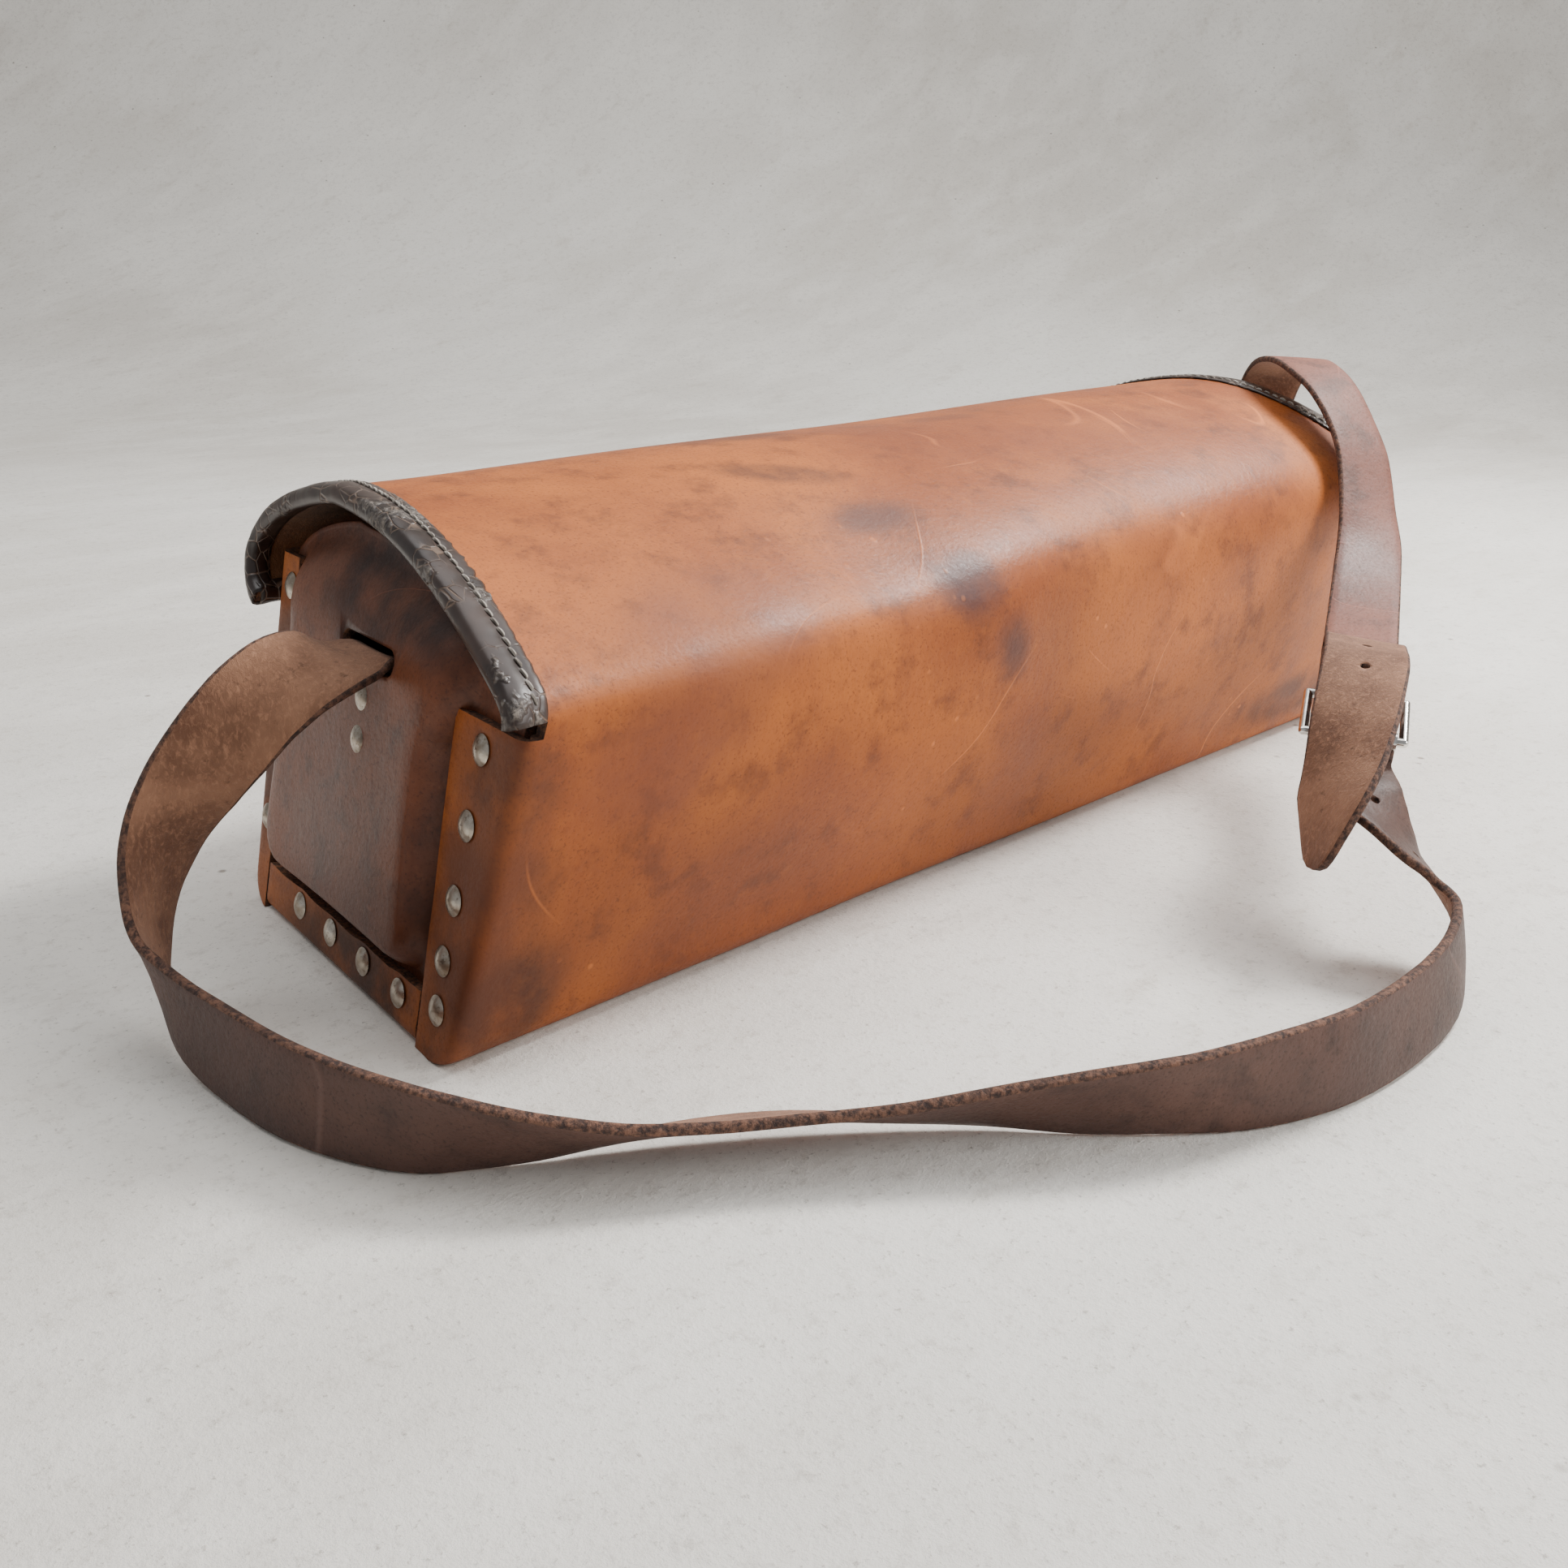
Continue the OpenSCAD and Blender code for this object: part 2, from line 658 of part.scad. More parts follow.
// The part of the tab that swings, hanging straight down from the flex line.
module closure_tab(x) {
    color("sienna")
    difference() {
        translate([x - tab_w / 2, tab_y, flex_z - tab_length])
            cube([tab_w, tab_t, tab_length]);
        translate([x, tab_y - 1, eyelet_z])
        rotate([-90, 0, 0])
            oval(eyelet_slot[0] + 2, eyelet_slot[1] + 2, tab_t + 2);
    }
}
eyelet_z = flex_z - 43.4;

// Metal eyelet: a sleeve through the tab with a flange outside.
module eyelet(x) {
    color("silver")
    translate([x, tab_y, eyelet_z])
    rotate([-90, 0, 0])
    difference() {
        union() {
            oval(eyelet_slot[0] + 2, eyelet_slot[1] + 2, tab_t);
            translate([0, 0, tab_t])
                oval(eyelet_slot[0] + 7, eyelet_slot[1] + 7, 1);
        }
        translate([0, 0, -1])
            oval(eyelet_slot[0], eyelet_slot[1], tab_t + 3);
    }
}

module tab_rivets(x) {
    color("silver")
    tab_rivet_frames(x) {
        translate([0, 0, tab_t + 2 * gap])
            rivet_dome(7, 1.6);
        translate([0, 0, -leather - 1.6])
            cylinder(h = leather + tab_t + 2.4, d = tab_shank, $fn = 24);
    }
}
module tab_burrs(x) {
    color("gray")
    tab_rivet_frames(x)
    translate([0, 0, -leather - 1.4])
        difference() {
            cylinder(h = 1, d = 7, $fn = 24);
            translate([0, 0, -1])
                cylinder(h = 3, d = tab_shank, $fn = 24);
        }
}

// Base of the turn lock on the front wall, with a bore for the knob's shank.
module lock_plate(x) {
    color("silver")
    front_frame(x, lock_z)
    difference() {
        oval(24, 15, plate_t);
        translate([0, 0, -1])
            cylinder(h = plate_t + 2, d = knob_shank + 2 * running, $fn = 32);
    }
}
module lock_knob(x) {
    color("lightgray")
    front_frame(x, lock_z) {
        translate([0, 0, -leather - 1.6])
            cylinder(h = leather + plate_t + knob_stand + 3, d = knob_shank, $fn = 32);
        translate([0, 0, plate_t + knob_stand])
            oval(14, 4.6, 2.8);
        translate([0, 0, -leather - 2.6])
            cylinder(h = 1, d = 6, $fn = 32);
    }
}
knob_stand = 9.2;
module lock_washer(x) {
    color("gray")
    front_frame(x, lock_z)
    translate([0, 0, -leather - 1.2])
        difference() {
            cylinder(h = 1, d = 12, $fn = 32);
            translate([0, 0, -1])
                cylinder(h = 3, d = knob_shank + 2 * running, $fn = 32);
        }
}

body();
lid();
end_panel(-1);  // end_panel_left
end_panel(1);  // end_panel_right
binding_end(-1);  // binding_left
binding_end(1);  // binding_right
binding_front();
rivets_on_end(-1, rivet_places, 0, rim_back - 1.6);  // rivets_left
rivets_on_end(1, rivet_places, 0, rim_back - 1.6);  // rivets_right
burrs_on_end(-1, rivet_places, rim_back - burr_t);  // burrs_left
burrs_on_end(1, rivet_places, rim_back - burr_t);  // burrs_right
strap_long();
strap_short();
rivets_on_end(-1, strap_rivet_places, panel_bulge, anchor_back - 1.8);  // strap_rivets_left
rivets_on_end(1, strap_rivet_places, panel_bulge, anchor_back - 1.8);  // strap_rivets_right
burrs_on_end(-1, strap_rivet_places, anchor_back - burr_t - 0.2);  // strap_burrs_left
burrs_on_end(1, strap_rivet_places, anchor_back - burr_t - 0.2);  // strap_burrs_right
buckle_frame();
buckle_roller();
buckle_prong();
buckle_rivet();
lock_plate(-lock_x);  // lock_plate_left
lock_plate(lock_x);  // lock_plate_right
lock_knob(-lock_x);  // lock_knob_left
lock_knob(lock_x);  // lock_knob_right
lock_washer(-lock_x);  // lock_washer_left
lock_washer(lock_x);  // lock_washer_right
closure_tab(-lock_x);  // closure_tab_left
closure_tab(lock_x);  // closure_tab_right
tab_root(-lock_x);  // tab_root_left
tab_root(lock_x);  // tab_root_right
tab_rivets(-lock_x);  // tab_rivets_left
tab_rivets(lock_x);  // tab_rivets_right
tab_burrs(-lock_x);  // tab_burrs_left
tab_burrs(lock_x);  // tab_burrs_right
eyelet(-lock_x);  // eyelet_left
eyelet(lock_x);  // eyelet_right
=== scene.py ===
import contextlib
import math
import random

import bmesh
import bpy
from mathutils import Matrix, Vector


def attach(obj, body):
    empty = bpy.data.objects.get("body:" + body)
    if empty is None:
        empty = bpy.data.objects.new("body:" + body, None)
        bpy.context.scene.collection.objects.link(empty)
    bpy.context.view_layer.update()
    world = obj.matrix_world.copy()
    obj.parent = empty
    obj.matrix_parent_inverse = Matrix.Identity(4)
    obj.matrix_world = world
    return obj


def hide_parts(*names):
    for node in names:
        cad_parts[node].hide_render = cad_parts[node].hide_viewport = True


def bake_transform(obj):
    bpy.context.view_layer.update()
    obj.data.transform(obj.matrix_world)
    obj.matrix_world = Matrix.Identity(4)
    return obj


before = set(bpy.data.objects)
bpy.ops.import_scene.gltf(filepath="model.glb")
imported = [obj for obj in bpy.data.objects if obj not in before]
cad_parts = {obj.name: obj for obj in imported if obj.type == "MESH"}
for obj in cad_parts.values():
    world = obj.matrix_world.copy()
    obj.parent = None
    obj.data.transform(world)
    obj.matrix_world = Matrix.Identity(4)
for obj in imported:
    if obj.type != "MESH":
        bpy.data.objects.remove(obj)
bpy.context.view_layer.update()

MM = 0.001

# ---- camera ----

CAMERA_PLACE = (-0.49422, -0.45155, 0.25076)
CAMERA_YAW = 43.892
CAMERA_PITCH = 20.332
CAMERA_ROLL = -0.5
FOCAL_LENGTH = 35.09


def make_camera():
    yaw = math.radians(CAMERA_YAW)
    pitch = math.radians(CAMERA_PITCH)
    roll = math.radians(CAMERA_ROLL)
    ahead = Vector((math.sin(yaw) * math.cos(pitch), math.cos(yaw) * math.cos(pitch), -math.sin(pitch)))
    right = Vector((math.cos(yaw), -math.sin(yaw), 0))
    down = ahead.cross(right)
    right_rolled = right * math.cos(roll) + down * math.sin(roll)
    up = -(down * math.cos(roll) - right * math.sin(roll))
    camera = bpy.data.objects.new("camera", bpy.data.cameras.new("camera"))
    turn = Matrix((right_rolled, up, -ahead)).transposed().to_4x4()
    camera.matrix_world = Matrix.Translation(CAMERA_PLACE) @ turn
    camera.data.lens = FOCAL_LENGTH
    camera.data.sensor_width = 36
    bpy.context.scene.collection.objects.link(camera)
    bpy.context.scene.camera = camera


make_camera()

# ---- the bag's own measures, as in the CAD ----

HALF_LENGTH = 283.5 * MM
BACK_FOOT = 83 * MM
FRONT_FOOT = 87 * MM
HINGE_HEIGHT = 119 * MM
BACK_FLARE = 22 * MM
FRONT_FLARE = 5 * MM
FRONT_HEIGHT = 133 * MM
LEATHER = 4 * MM
END_LEAN = math.radians(12.4)
END_SKEW = math.radians(6)
DOME_HALF = 108 * MM
DOME_RISE = 38 * MM
WIDEST_HEIGHT = 127 * MM
OVERHANG = 6 * MM
LIP_RADIUS = 15 * MM
LIP_ANGLE = 75
FOOT_RADIUS = 12 * MM
PANEL_BULGE = 7 * MM
STRAP_WIDTH = 31 * MM
STRAP_THICKNESS = 3.4 * MM
SHORT_WIDTH = 30 * MM
SHORT_THICKNESS = 3 * MM
LOCK_X = 125 * MM
SLOT_MIDDLE = -8 * MM
# The back half of the dome is worn flatter by this power.
BACK_SLOPE = 1.25


def skew_of(side):
    return END_SKEW if side < 0 else 0


def end_point(side, y, z, w):
    """The point at place y and height z on an end's plane, w outwards from its flanges' faces."""
    skew = skew_of(side)
    reach = HALF_LENGTH - math.tan(skew) * (y + BACK_FOOT) - math.tan(END_LEAN) / math.cos(skew) * z
    return Vector((
        side * (reach + w * math.cos(END_LEAN) * math.cos(skew)),
        y + w * math.cos(END_LEAN) * math.sin(skew),
        z + w * math.sin(END_LEAN)))


def mm_point(x, y, z):
    return Vector((x * MM, y * MM, z * MM))


# ---- shoulder strap: routes and flat sweep ----

ANCHOR_DEPTH = PANEL_BULGE - LEATHER - 0.3 * MM - STRAP_THICKNESS / 2
BUCKLE_HEEL = mm_point(68, -192, 75)
BUCKLE_ALONG = Vector((0.85, 0.42, 0.31)).normalized()


def square_to(vector, along):
    return (vector - along * vector.dot(along)).normalized()


BUCKLE_ACROSS = square_to(Vector((-0.45, 0.89, 0.03)), BUCKLE_ALONG)
BUCKLE_UP = BUCKLE_ALONG.cross(BUCKLE_ACROSS)


def buckle_point(s, w, n):
    """A point s along the strap, w across it and n above it in millimetres, from the heel bar."""
    return BUCKLE_HEEL + (BUCKLE_ALONG * s + BUCKLE_ACROSS * w + BUCKLE_UP * n) * MM


def anchor_route(side):
    """Where a strap's end lies inside its end panel and bends out through the slot."""
    across = Vector((0.1, 1, 0)) if side < 0 else Vector((0, 1, 0))
    steps = [(76, 0), (92, 0), (104, 0), (110.4, 0.3), (113.6, 2.2), (114.4, 6)]
    return [(end_point(side, SLOT_MIDDLE, z * MM, ANCHOR_DEPTH + w * MM), across) for z, w in steps]


def laid(*rows):
    """Stretch of a route from places in millimetres, each with the strap's across direction."""
    return [(mm_point(*place), Vector(across)) for place, across in rows]


def in_buckle(*rows):
    """Stretch of a route inside the buckle, as places along it and above it."""
    return [(buckle_point(s, 0, n), BUCKLE_ACROSS) for s, n in rows]


LONG_ROUTE = anchor_route(-1) + laid(
    ((-264.6, -9, 116), (-0.1, 1, 0.15)),
    ((-273.4, -12, 117), (-0.3, 0.85, 0.4)),
    ((-286, -12.5, 115), (-0.4, 0.7, 0.6)),
    ((-298, -11, 108), (-0.55, 0.55, 0.65)),
    ((-308, -7, 97), (-0.7, 0.35, 0.6)),
    ((-315, 0, 85), (-0.85, 0.2, 0.5)),
    ((-321, 6, 73), (-0.9, -0.05, 0.4)),
    ((-326, 10, 60), (-0.9, -0.3, 0.3)),
    ((-331, 10, 46), (-0.75, -0.55, 0.35)),
    ((-335, 5, 33), (-0.55, -0.6, 0.55)),
    ((-338, -6, 23), (-0.25, -0.45, 0.85)),
    ((-339, -26, 18), (0, -0.2, 1)),
    ((-337, -52, 16), (0.1, 0, 1)),
    ((-334, -79, 16), (0.1, 0, 1)),
    ((-327, -103, 16), (0, 0, 1)),
    ((-317, -124, 16), (-0.1, -0.2, 1)),
    ((-304, -138, 15), (-0.25, -0.4, 0.9)),
    ((-290, -150, 14), (-0.35, -0.55, 0.75)),
    ((-275, -160, 13), (-0.45, -0.65, 0.6)),
    ((-256, -172, 13), (-0.5, -0.7, 0.5)),
    ((-234, -187, 13), (-0.5, -0.7, 0.5)),
    ((-211, -205, 13), (-0.5, -0.6, 0.6)),
    ((-190, -222, 14), (-0.5, -0.45, 0.75)),
    ((-170, -240, 15), (-0.35, -0.3, 0.9)),
    ((-148, -257, 16), (-0.2, -0.2, 0.95)),
    ((-121, -271, 16), (0, 0, 1)),
    ((-90, -280, 16), (0, 0.1, 1)),
    ((-55, -282, 16), (0, 0.15, 1)),
    ((-22, -279, 17), (-0.15, 0.15, 0.95)),
    ((1, -271, 21), (-0.4, 0, 0.9)),
    ((12, -262, 27), (-0.75, -0.1, 0.65)),
    ((15, -252, 34), (-0.85, -0.2, 0.45)),
    ((15, -243, 40), (-0.9, -0.15, 0.35)),
    ((17, -235, 46), (-0.9, 0.1, 0.3)),
    ((20, -227, 51), (-0.85, 0.35, 0.2)),
    ((26, -218, 56), (-0.75, 0.6, 0.15)),
) + in_buckle(
    (-34, -8), (-25, -5.8), (-13, 0.6), (-4, 6), (4, 7.6), (14, 5.8),
) + laid(
    ((91, -181, 83), (-0.5, 0.85, 0.1)),
    ((94.5, -179, 84.3), (-0.5, 0.85, 0.12)),
    ((95.8, -178.5, 87), (-0.5, 0.85, 0.14)),
    ((94, -179.5, 89.7), (-0.5, 0.85, 0.14)),
    ((88, -183, 92.5), (-0.5, 0.85, 0.12)),
    ((72, -191, 95), (-0.48, 0.86, 0.1)),
    ((54, -200, 96), (-0.4, 0.9, 0.05)),
    ((36, -208, 91), (-0.25, 0.95, 0)),
    ((19, -215, 82), (-0.1, 1, -0.1)),
    ((5, -220, 70), (0.05, 0.95, -0.25)),
    ((-5, -222, 59), (0.2, 0.9, -0.35)),
    ((-11, -223, 47), (0.35, 0.85, -0.4)),
    ((-14, -223, 36), (0.45, 0.8, -0.4)),
)

SHORT_ROUTE = laid(
    ((112, -171, 78.2), (-0.46, 0.88, 0.05)),
    ((98, -178, 75.4), (-0.46, 0.88, 0.05)),
) + in_buckle(
    (12, -2.6), (3, -3.8), (-0.6, -3.75), (-2.8, -2.6), (-3.8, 0),
    (-2.8, 2.6), (-0.4, 3.8), (4, 3.9), (14, 2),
) + laid(
    ((93, -180, 78.6), (-0.46, 0.88, 0.05)),
    ((108, -172.5, 80.6), (-0.46, 0.88, 0.05)),
    ((121, -166, 83), (-0.45, 0.89, 0.05)),
    ((147, -153, 91), (-0.45, 0.9, 0.1)),
    ((171, -141, 101), (-0.5, 0.85, 0.2)),
    ((190, -131, 112), (-0.6, 0.75, 0.25)),
    ((203, -122, 124), (-0.75, 0.6, 0.3)),
    ((213, -114, 136), (-0.85, 0.5, 0.25)),
    ((221, -106, 148), (-0.9, 0.45, 0.2)),
    ((229, -94, 161), (-0.9, 0.4, 0.15)),
    ((237, -80, 173), (-0.9, 0.45, 0.1)),
    ((246, -64, 181), (-0.85, 0.55, 0.05)),
    ((257, -48, 184), (-0.8, 0.6, 0.05)),
    ((269, -33, 180), (-0.75, 0.65, 0.15)),
    ((279.5, -22, 170), (-0.65, 0.7, 0.3)),
    ((285.5, -15, 157), (-0.5, 0.75, 0.4)),
    ((286, -10, 143), (-0.35, 0.8, 0.45)),
    ((282, -8.5, 130), (-0.2, 0.9, 0.4)),
    ((273, -8, 120), (-0.1, 1, 0.2)),
) + anchor_route(1)[::-1]


def smooth(values, steps):
    """Smooth curve through a list of vectors, with steps points from each to the next."""
    last = len(values) - 1
    curve = []
    for i in range(last):
        a = values[max(i - 1, 0)]
        b = values[i]
        c = values[i + 1]
        d = values[min(i + 2, last)]
        for k in range(steps):
            t = k / steps
            curve.append(0.5 * (2 * b + (c - a) * t + (2 * a - 5 * b + 4 * c - d) * t * t
                                + (3 * b - a - 3 * c + d) * t * t * t))
    curve.append(values[last])
    return curve


def strap_stations(route, steps):
    """Places, across vectors and face normals along a route, with the distance run so far."""
    places = smooth([place for place, across in route], steps)
    acrosses = smooth([across.normalized() for place, across in route], steps)
    stations = []
    run = 0
    for i, place in enumerate(places):
        along = (places[min(i + 1, len(places) - 1)] - places[max(i - 1, 0)]).normalized()
        across = square_to(acrosses[i], along)
        if i:
            run += (place - places[i - 1]).length
        stations.append((place, across, along.cross(across), run))
    return stations


# ---- mesh helpers ----

def new_piece(name, points, faces, materials, face_slots=None):
    mesh = bpy.data.meshes.new(name)
    mesh.from_pydata([tuple(p) for p in points], [], faces)
    for material in materials:
        mesh.materials.append(material)
    if face_slots:
        mesh.polygons.foreach_set("material_index", face_slots)
    mesh.polygons.foreach_set("use_smooth", [True] * len(mesh.polygons))
    mesh.update()
    piece = bpy.data.objects.new(name, mesh)
    bpy.context.scene.collection.objects.link(piece)
    return piece


def shade_smooth(piece):
    piece.data.polygons.foreach_set("use_smooth", [True] * len(piece.data.polygons))


def apply_modifiers(piece):
    """Writes a piece's modifiers into its mesh."""
    graph = bpy.context.evaluated_depsgraph_get()
    mesh = bpy.data.meshes.new_from_object(piece.evaluated_get(graph))
    old = piece.data
    piece.modifiers.clear()
    piece.data = mesh
    mesh.name = piece.name
    bpy.data.meshes.remove(old)


@contextlib.contextmanager
def editing(piece):
    """Opens a piece's mesh for bmesh work and writes it back."""
    work = bmesh.new()
    work.from_mesh(piece.data)
    yield work
    work.to_mesh(piece.data)
    work.free()


def weld(piece, distance=0.05 * MM):
    with editing(piece) as work:
        bmesh.ops.remove_doubles(work, verts=work.verts, dist=distance)
        loose = [vertex for vertex in work.verts if not vertex.link_faces]
        bmesh.ops.delete(work, geom=loose, context="VERTS")
        bmesh.ops.recalc_face_normals(work, faces=work.faces)


def thicken(piece, thickness, edge_round=0.7 * MM):
    """Gives an open sheet its thickness, away from its normals, and rounds its cut edges."""
    shell = piece.modifiers.new("thickness", "SOLIDIFY")
    shell.thickness = thickness
    shell.offset = -1
    shell.use_even_offset = False
    shell.material_offset = 1
    shell.material_offset_rim = 2
    rounding = piece.modifiers.new("edges", "BEVEL")
    rounding.width = edge_round
    rounding.segments = 2
    rounding.limit_method = "ANGLE"
    rounding.angle_limit = math.radians(55)
    rounding.use_clamp_overlap = True
    apply_modifiers(piece)
    shade_smooth(piece)


def ring_faces(base, size):
    """Four-sided faces between a closed ring of points that starts at base and the next ring."""
    faces = []
    for k in range(size):
        a = base + k
        b = base + (k + 1) % size
        faces.append((a, b, b + size, a + size))
    return faces


def prism_cutter(near, far, material):
    """A closed cutter between two outlines."""
    count = len(near)
    faces = [tuple(range(count)), tuple(range(2 * count - 1, count - 1, -1))]
    cutter = new_piece("cutter", near + far, faces + ring_faces(0, count), [material])
    weld(cutter)
    return cutter


def cut(piece, cutter):
    """Cuts a closed cutter out of a closed piece and removes the cutter."""
    difference = piece.modifiers.new("cut", "BOOLEAN")
    difference.operation = "DIFFERENCE"
    difference.solver = "EXACT"
    difference.object = cutter
    apply_modifiers(piece)
    bpy.data.objects.remove(cutter)


def waves(seed, count, shortest, longest):
    """A smooth random function of a point, from -1 to 1, as a sum of plane waves."""
    chance = random.Random(seed)
    parts = []
    for i in range(count):
        way = Vector((chance.gauss(0, 1), chance.gauss(0, 1), chance.gauss(0, 1))).normalized()
        length = shortest * (longest / shortest) ** chance.random()
        parts.append((way * (2 * math.pi / length), chance.uniform(0, 2 * math.pi), length / longest))
    total = sum(weight for way, phase, weight in parts)

    def value(point):
        return sum(weight * math.sin(way.dot(point) + phase) for way, phase, weight in parts) / total
    return value


def mix(a, b, t):
    return a + (b - a) * t


def ease(t):
    t = min(max(t, 0), 1)
    return t * t * (3 - 2 * t)


# ---- materials ----

def srgb(red, green, blue):
    """A colour given in screen values from 0 to 255."""
    def linear(value):
        value /= 255
        return value / 12.92 if value <= 0.04045 else ((value + 0.055) / 1.055) ** 2.4
    return (linear(red), linear(green), linear(blue), 1)


class Nodes:
    """Short ways to add and join shader nodes of one material."""

    def __init__(self, name, roughness=0.5, metallic=0.0):
        self.material = bpy.data.materials.new(name)
        self.material.use_nodes = True
        self.tree = self.material.node_tree
        self.shader = self.tree.nodes["Principled BSDF"]
        self.shader.inputs["Roughness"].default_value = roughness
        self.shader.inputs["Metallic"].default_value = metallic
        self.place = self.tree.nodes.new("ShaderNodeTexCoord").outputs["Object"]

    def join(self, source, socket):
        self.tree.links.new(source, socket)

    def add(self, kind, inputs=None, **settings):
        node = self.tree.nodes.new(kind)
        for key, value in settings.items():
            setattr(node, key, value)
        for key, value in (inputs or {}).items():
            if isinstance(value, bpy.types.NodeSocket):
                self.join(value, node.inputs[key])
            else:
                node.inputs[key].default_value = value
        return node

    def stretched(self, scale=(1, 1, 1), turn=(0, 0, 0), shift=(0, 0, 0)):
        """The object's own coordinates, scaled, turned and moved."""
        return self.add("ShaderNodeMapping", {
            "Vector": self.place, "Scale": scale, "Rotation": turn, "Location": shift}).outputs[0]

    def noise(self, scale, detail=4, roughness=0.5, source=None, distortion=0.0):
        return self.add("ShaderNodeTexNoise", {
            "Vector": source or self.place, "Scale": scale, "Detail": detail,
            "Roughness": roughness, "Distortion": distortion}).outputs["Fac"]

    def cells(self, scale, feature="F1", source=None):
        return self.add("ShaderNodeTexVoronoi", {
            "Vector": source or self.place, "Scale": scale}, feature=feature).outputs["Distance"]

    def ramp(self, value, low, high, start=0.0, end=1.0):
        node = self.add("ShaderNodeMapRange", {
            "Value": value, "From Min": low, "From Max": high, "To Min": start, "To Max": end})
        node.interpolation_type = "SMOOTHSTEP"
        return node.outputs[0]

    def blend(self, amount, first, second):
        """First colour where amount is 0, second where it is 1."""
        return self.add("ShaderNodeMix", {0: amount, 6: first, 7: second}, data_type="RGBA").outputs[2]

    def maths(self, operation, first, second=0.0):
        return self.add("ShaderNodeMath", {0: first, 1: second}, operation=operation).outputs[0]

    def product(self, first, second):
        return self.maths("MULTIPLY", first, second)

    def spot(self, centre, size, turn=(0, 0, 0)):
        """1 at a place on the object, fading to 0 at the edge of an ellipsoid of that size."""
        def vector(operation, *inputs):
            return self.add("ShaderNodeVectorMath", dict(enumerate(inputs)), operation=operation).outputs

        inputs = {"Vector": vector("SUBTRACT", self.place, centre)[0], "Rotation": turn}
        turned = self.add("ShaderNodeVectorRotate", inputs, rotation_type="EULER_XYZ").outputs[0]
        scaled = vector("DIVIDE", turned, size)[0]
        return self.ramp(vector("LENGTH", scaled)["Value"], 0.35, 1.0, 1.0, 0.0)

    def bump(self, height, strength, distance, under=None):
        inputs = {"Height": height, "Strength": strength, "Distance": distance}
        if under is not None:
            inputs["Normal"] = under
        return self.add("ShaderNodeBump", inputs).outputs[0]

    def finish(self, colour, roughness=None, normal=None):
        self.join(colour, self.shader.inputs["Base Color"])
        if roughness is not None:
            self.join(roughness, self.shader.inputs["Roughness"])
        if normal is not None:
            self.join(normal, self.shader.inputs["Normal"])
        return self.material


def lighter(colour, factor, lift=0.0):
    return [min(1, part * factor + lift) for part in colour[:3]] + [1]


def leather_material(
        name, pale, middle, dark, shine=(0.42, 0.6), spots=(), scratch=0.35, grain=1.0, seed=0.0):
    """Smooth worn leather: cloudy colour, darker handled blotches, fine pores, pale scratches and tinted
    spots, which hold scuffs and painted shade.
    """
    n = Nodes(name)
    place = n.stretched(shift=(seed, seed * 0.7, seed * 0.3))
    clouds = n.noise(9, 5, 0.6, place, 0.4)
    mottle = n.noise(55, 4, 0.65, place)
    pores = n.noise(900, 3, 0.6, place)
    colour = n.blend(n.ramp(clouds, 0.36, 0.66), middle, pale)
    colour = n.blend(n.ramp(mottle, 0.47, 0.72, 0, 0.55), colour, dark)
    colour = n.blend(n.ramp(n.noise(160, 3, 0.7, place), 0.5, 0.75, 0, 0.35), colour, pale)
    colour = n.blend(n.ramp(pores, 0.3, 0.46, 0.5, 0), colour, dark)
    stains = n.noise(4.2, 3, 0.5, n.stretched((0.7, 1, 1), shift=(seed + 3, 1, 2)))
    colour = n.blend(n.ramp(stains, 0.56, 0.72, 0, 0.55), colour, dark)
    # Tinted spots at the listed places: scuffs and marks, and painted shade where the list holds it.
    for centre, size, turn, tint, amount in spots:
        mask = n.spot(centre, size, turn)
        broken = n.ramp(n.noise(38, 4, 0.65, place), 0.25, 0.62, 0.45, 1)
        cover = n.product(n.product(mask, broken), amount)
        colour = n.blend(cover, colour, tint)
    lines = None
    for turn, width, place_shift in ((0.5, 0.02, 0.0), (-0.9, 0.014, 5.0), (1.7, 0.016, 9.0)):
        turned = n.stretched(turn=(0.3, turn * 0.4, turn), shift=(place_shift, seed, 1))
        field = n.maths("SUBTRACT", n.noise(5, 2, 0.5, turned, 0.8), 0.5)
        line = n.ramp(n.maths("ABSOLUTE", field), 0.0, width * 0.22, 1, 0)
        patch = n.ramp(n.noise(11, 2, 0.5, n.stretched(shift=(place_shift, 7, seed))), 0.55, 0.68)
        line = n.product(line, patch)
        lines = line if lines is None else n.maths("MAXIMUM", lines, line)
    specks = n.cells(85, source=n.stretched((1, 0.45, 1), (0, 0.4, 0.6), (seed, 2, 1)))
    nicks = n.ramp(specks, 0.05, 0.13, 1, 0)
    nicks = n.product(nicks, n.ramp(n.noise(17, 2, 0.5, place), 0.55, 0.66))
    marks = n.product(n.maths("MAXIMUM", lines, nicks), scratch)
    colour = n.blend(marks, colour, lighter(pale, 1.9, 0.03))
    rough = n.ramp(clouds, 0.3, 0.7, *shine)
    rough = n.maths("ADD", rough, n.ramp(pores, 0.3, 0.7, 0.06, -0.03))
    relief = n.bump(n.cells(420, "SMOOTH_F1", place), 0.16 * grain, 0.0006)
    relief = n.bump(pores, 0.22 * grain, 0.0005, relief)
    relief = n.bump(mottle, 0.16, 0.0014, relief)
    relief = n.bump(n.maths("MAXIMUM", lines, nicks), 0.25, 0.0004, relief)
    n.shader.inputs["Specular IOR Level"].default_value = 0.32
    n.shader.inputs["Coat Weight"].default_value = 0.04
    n.shader.inputs["Coat Roughness"].default_value = 0.38
    return n.finish(colour, rough, relief)


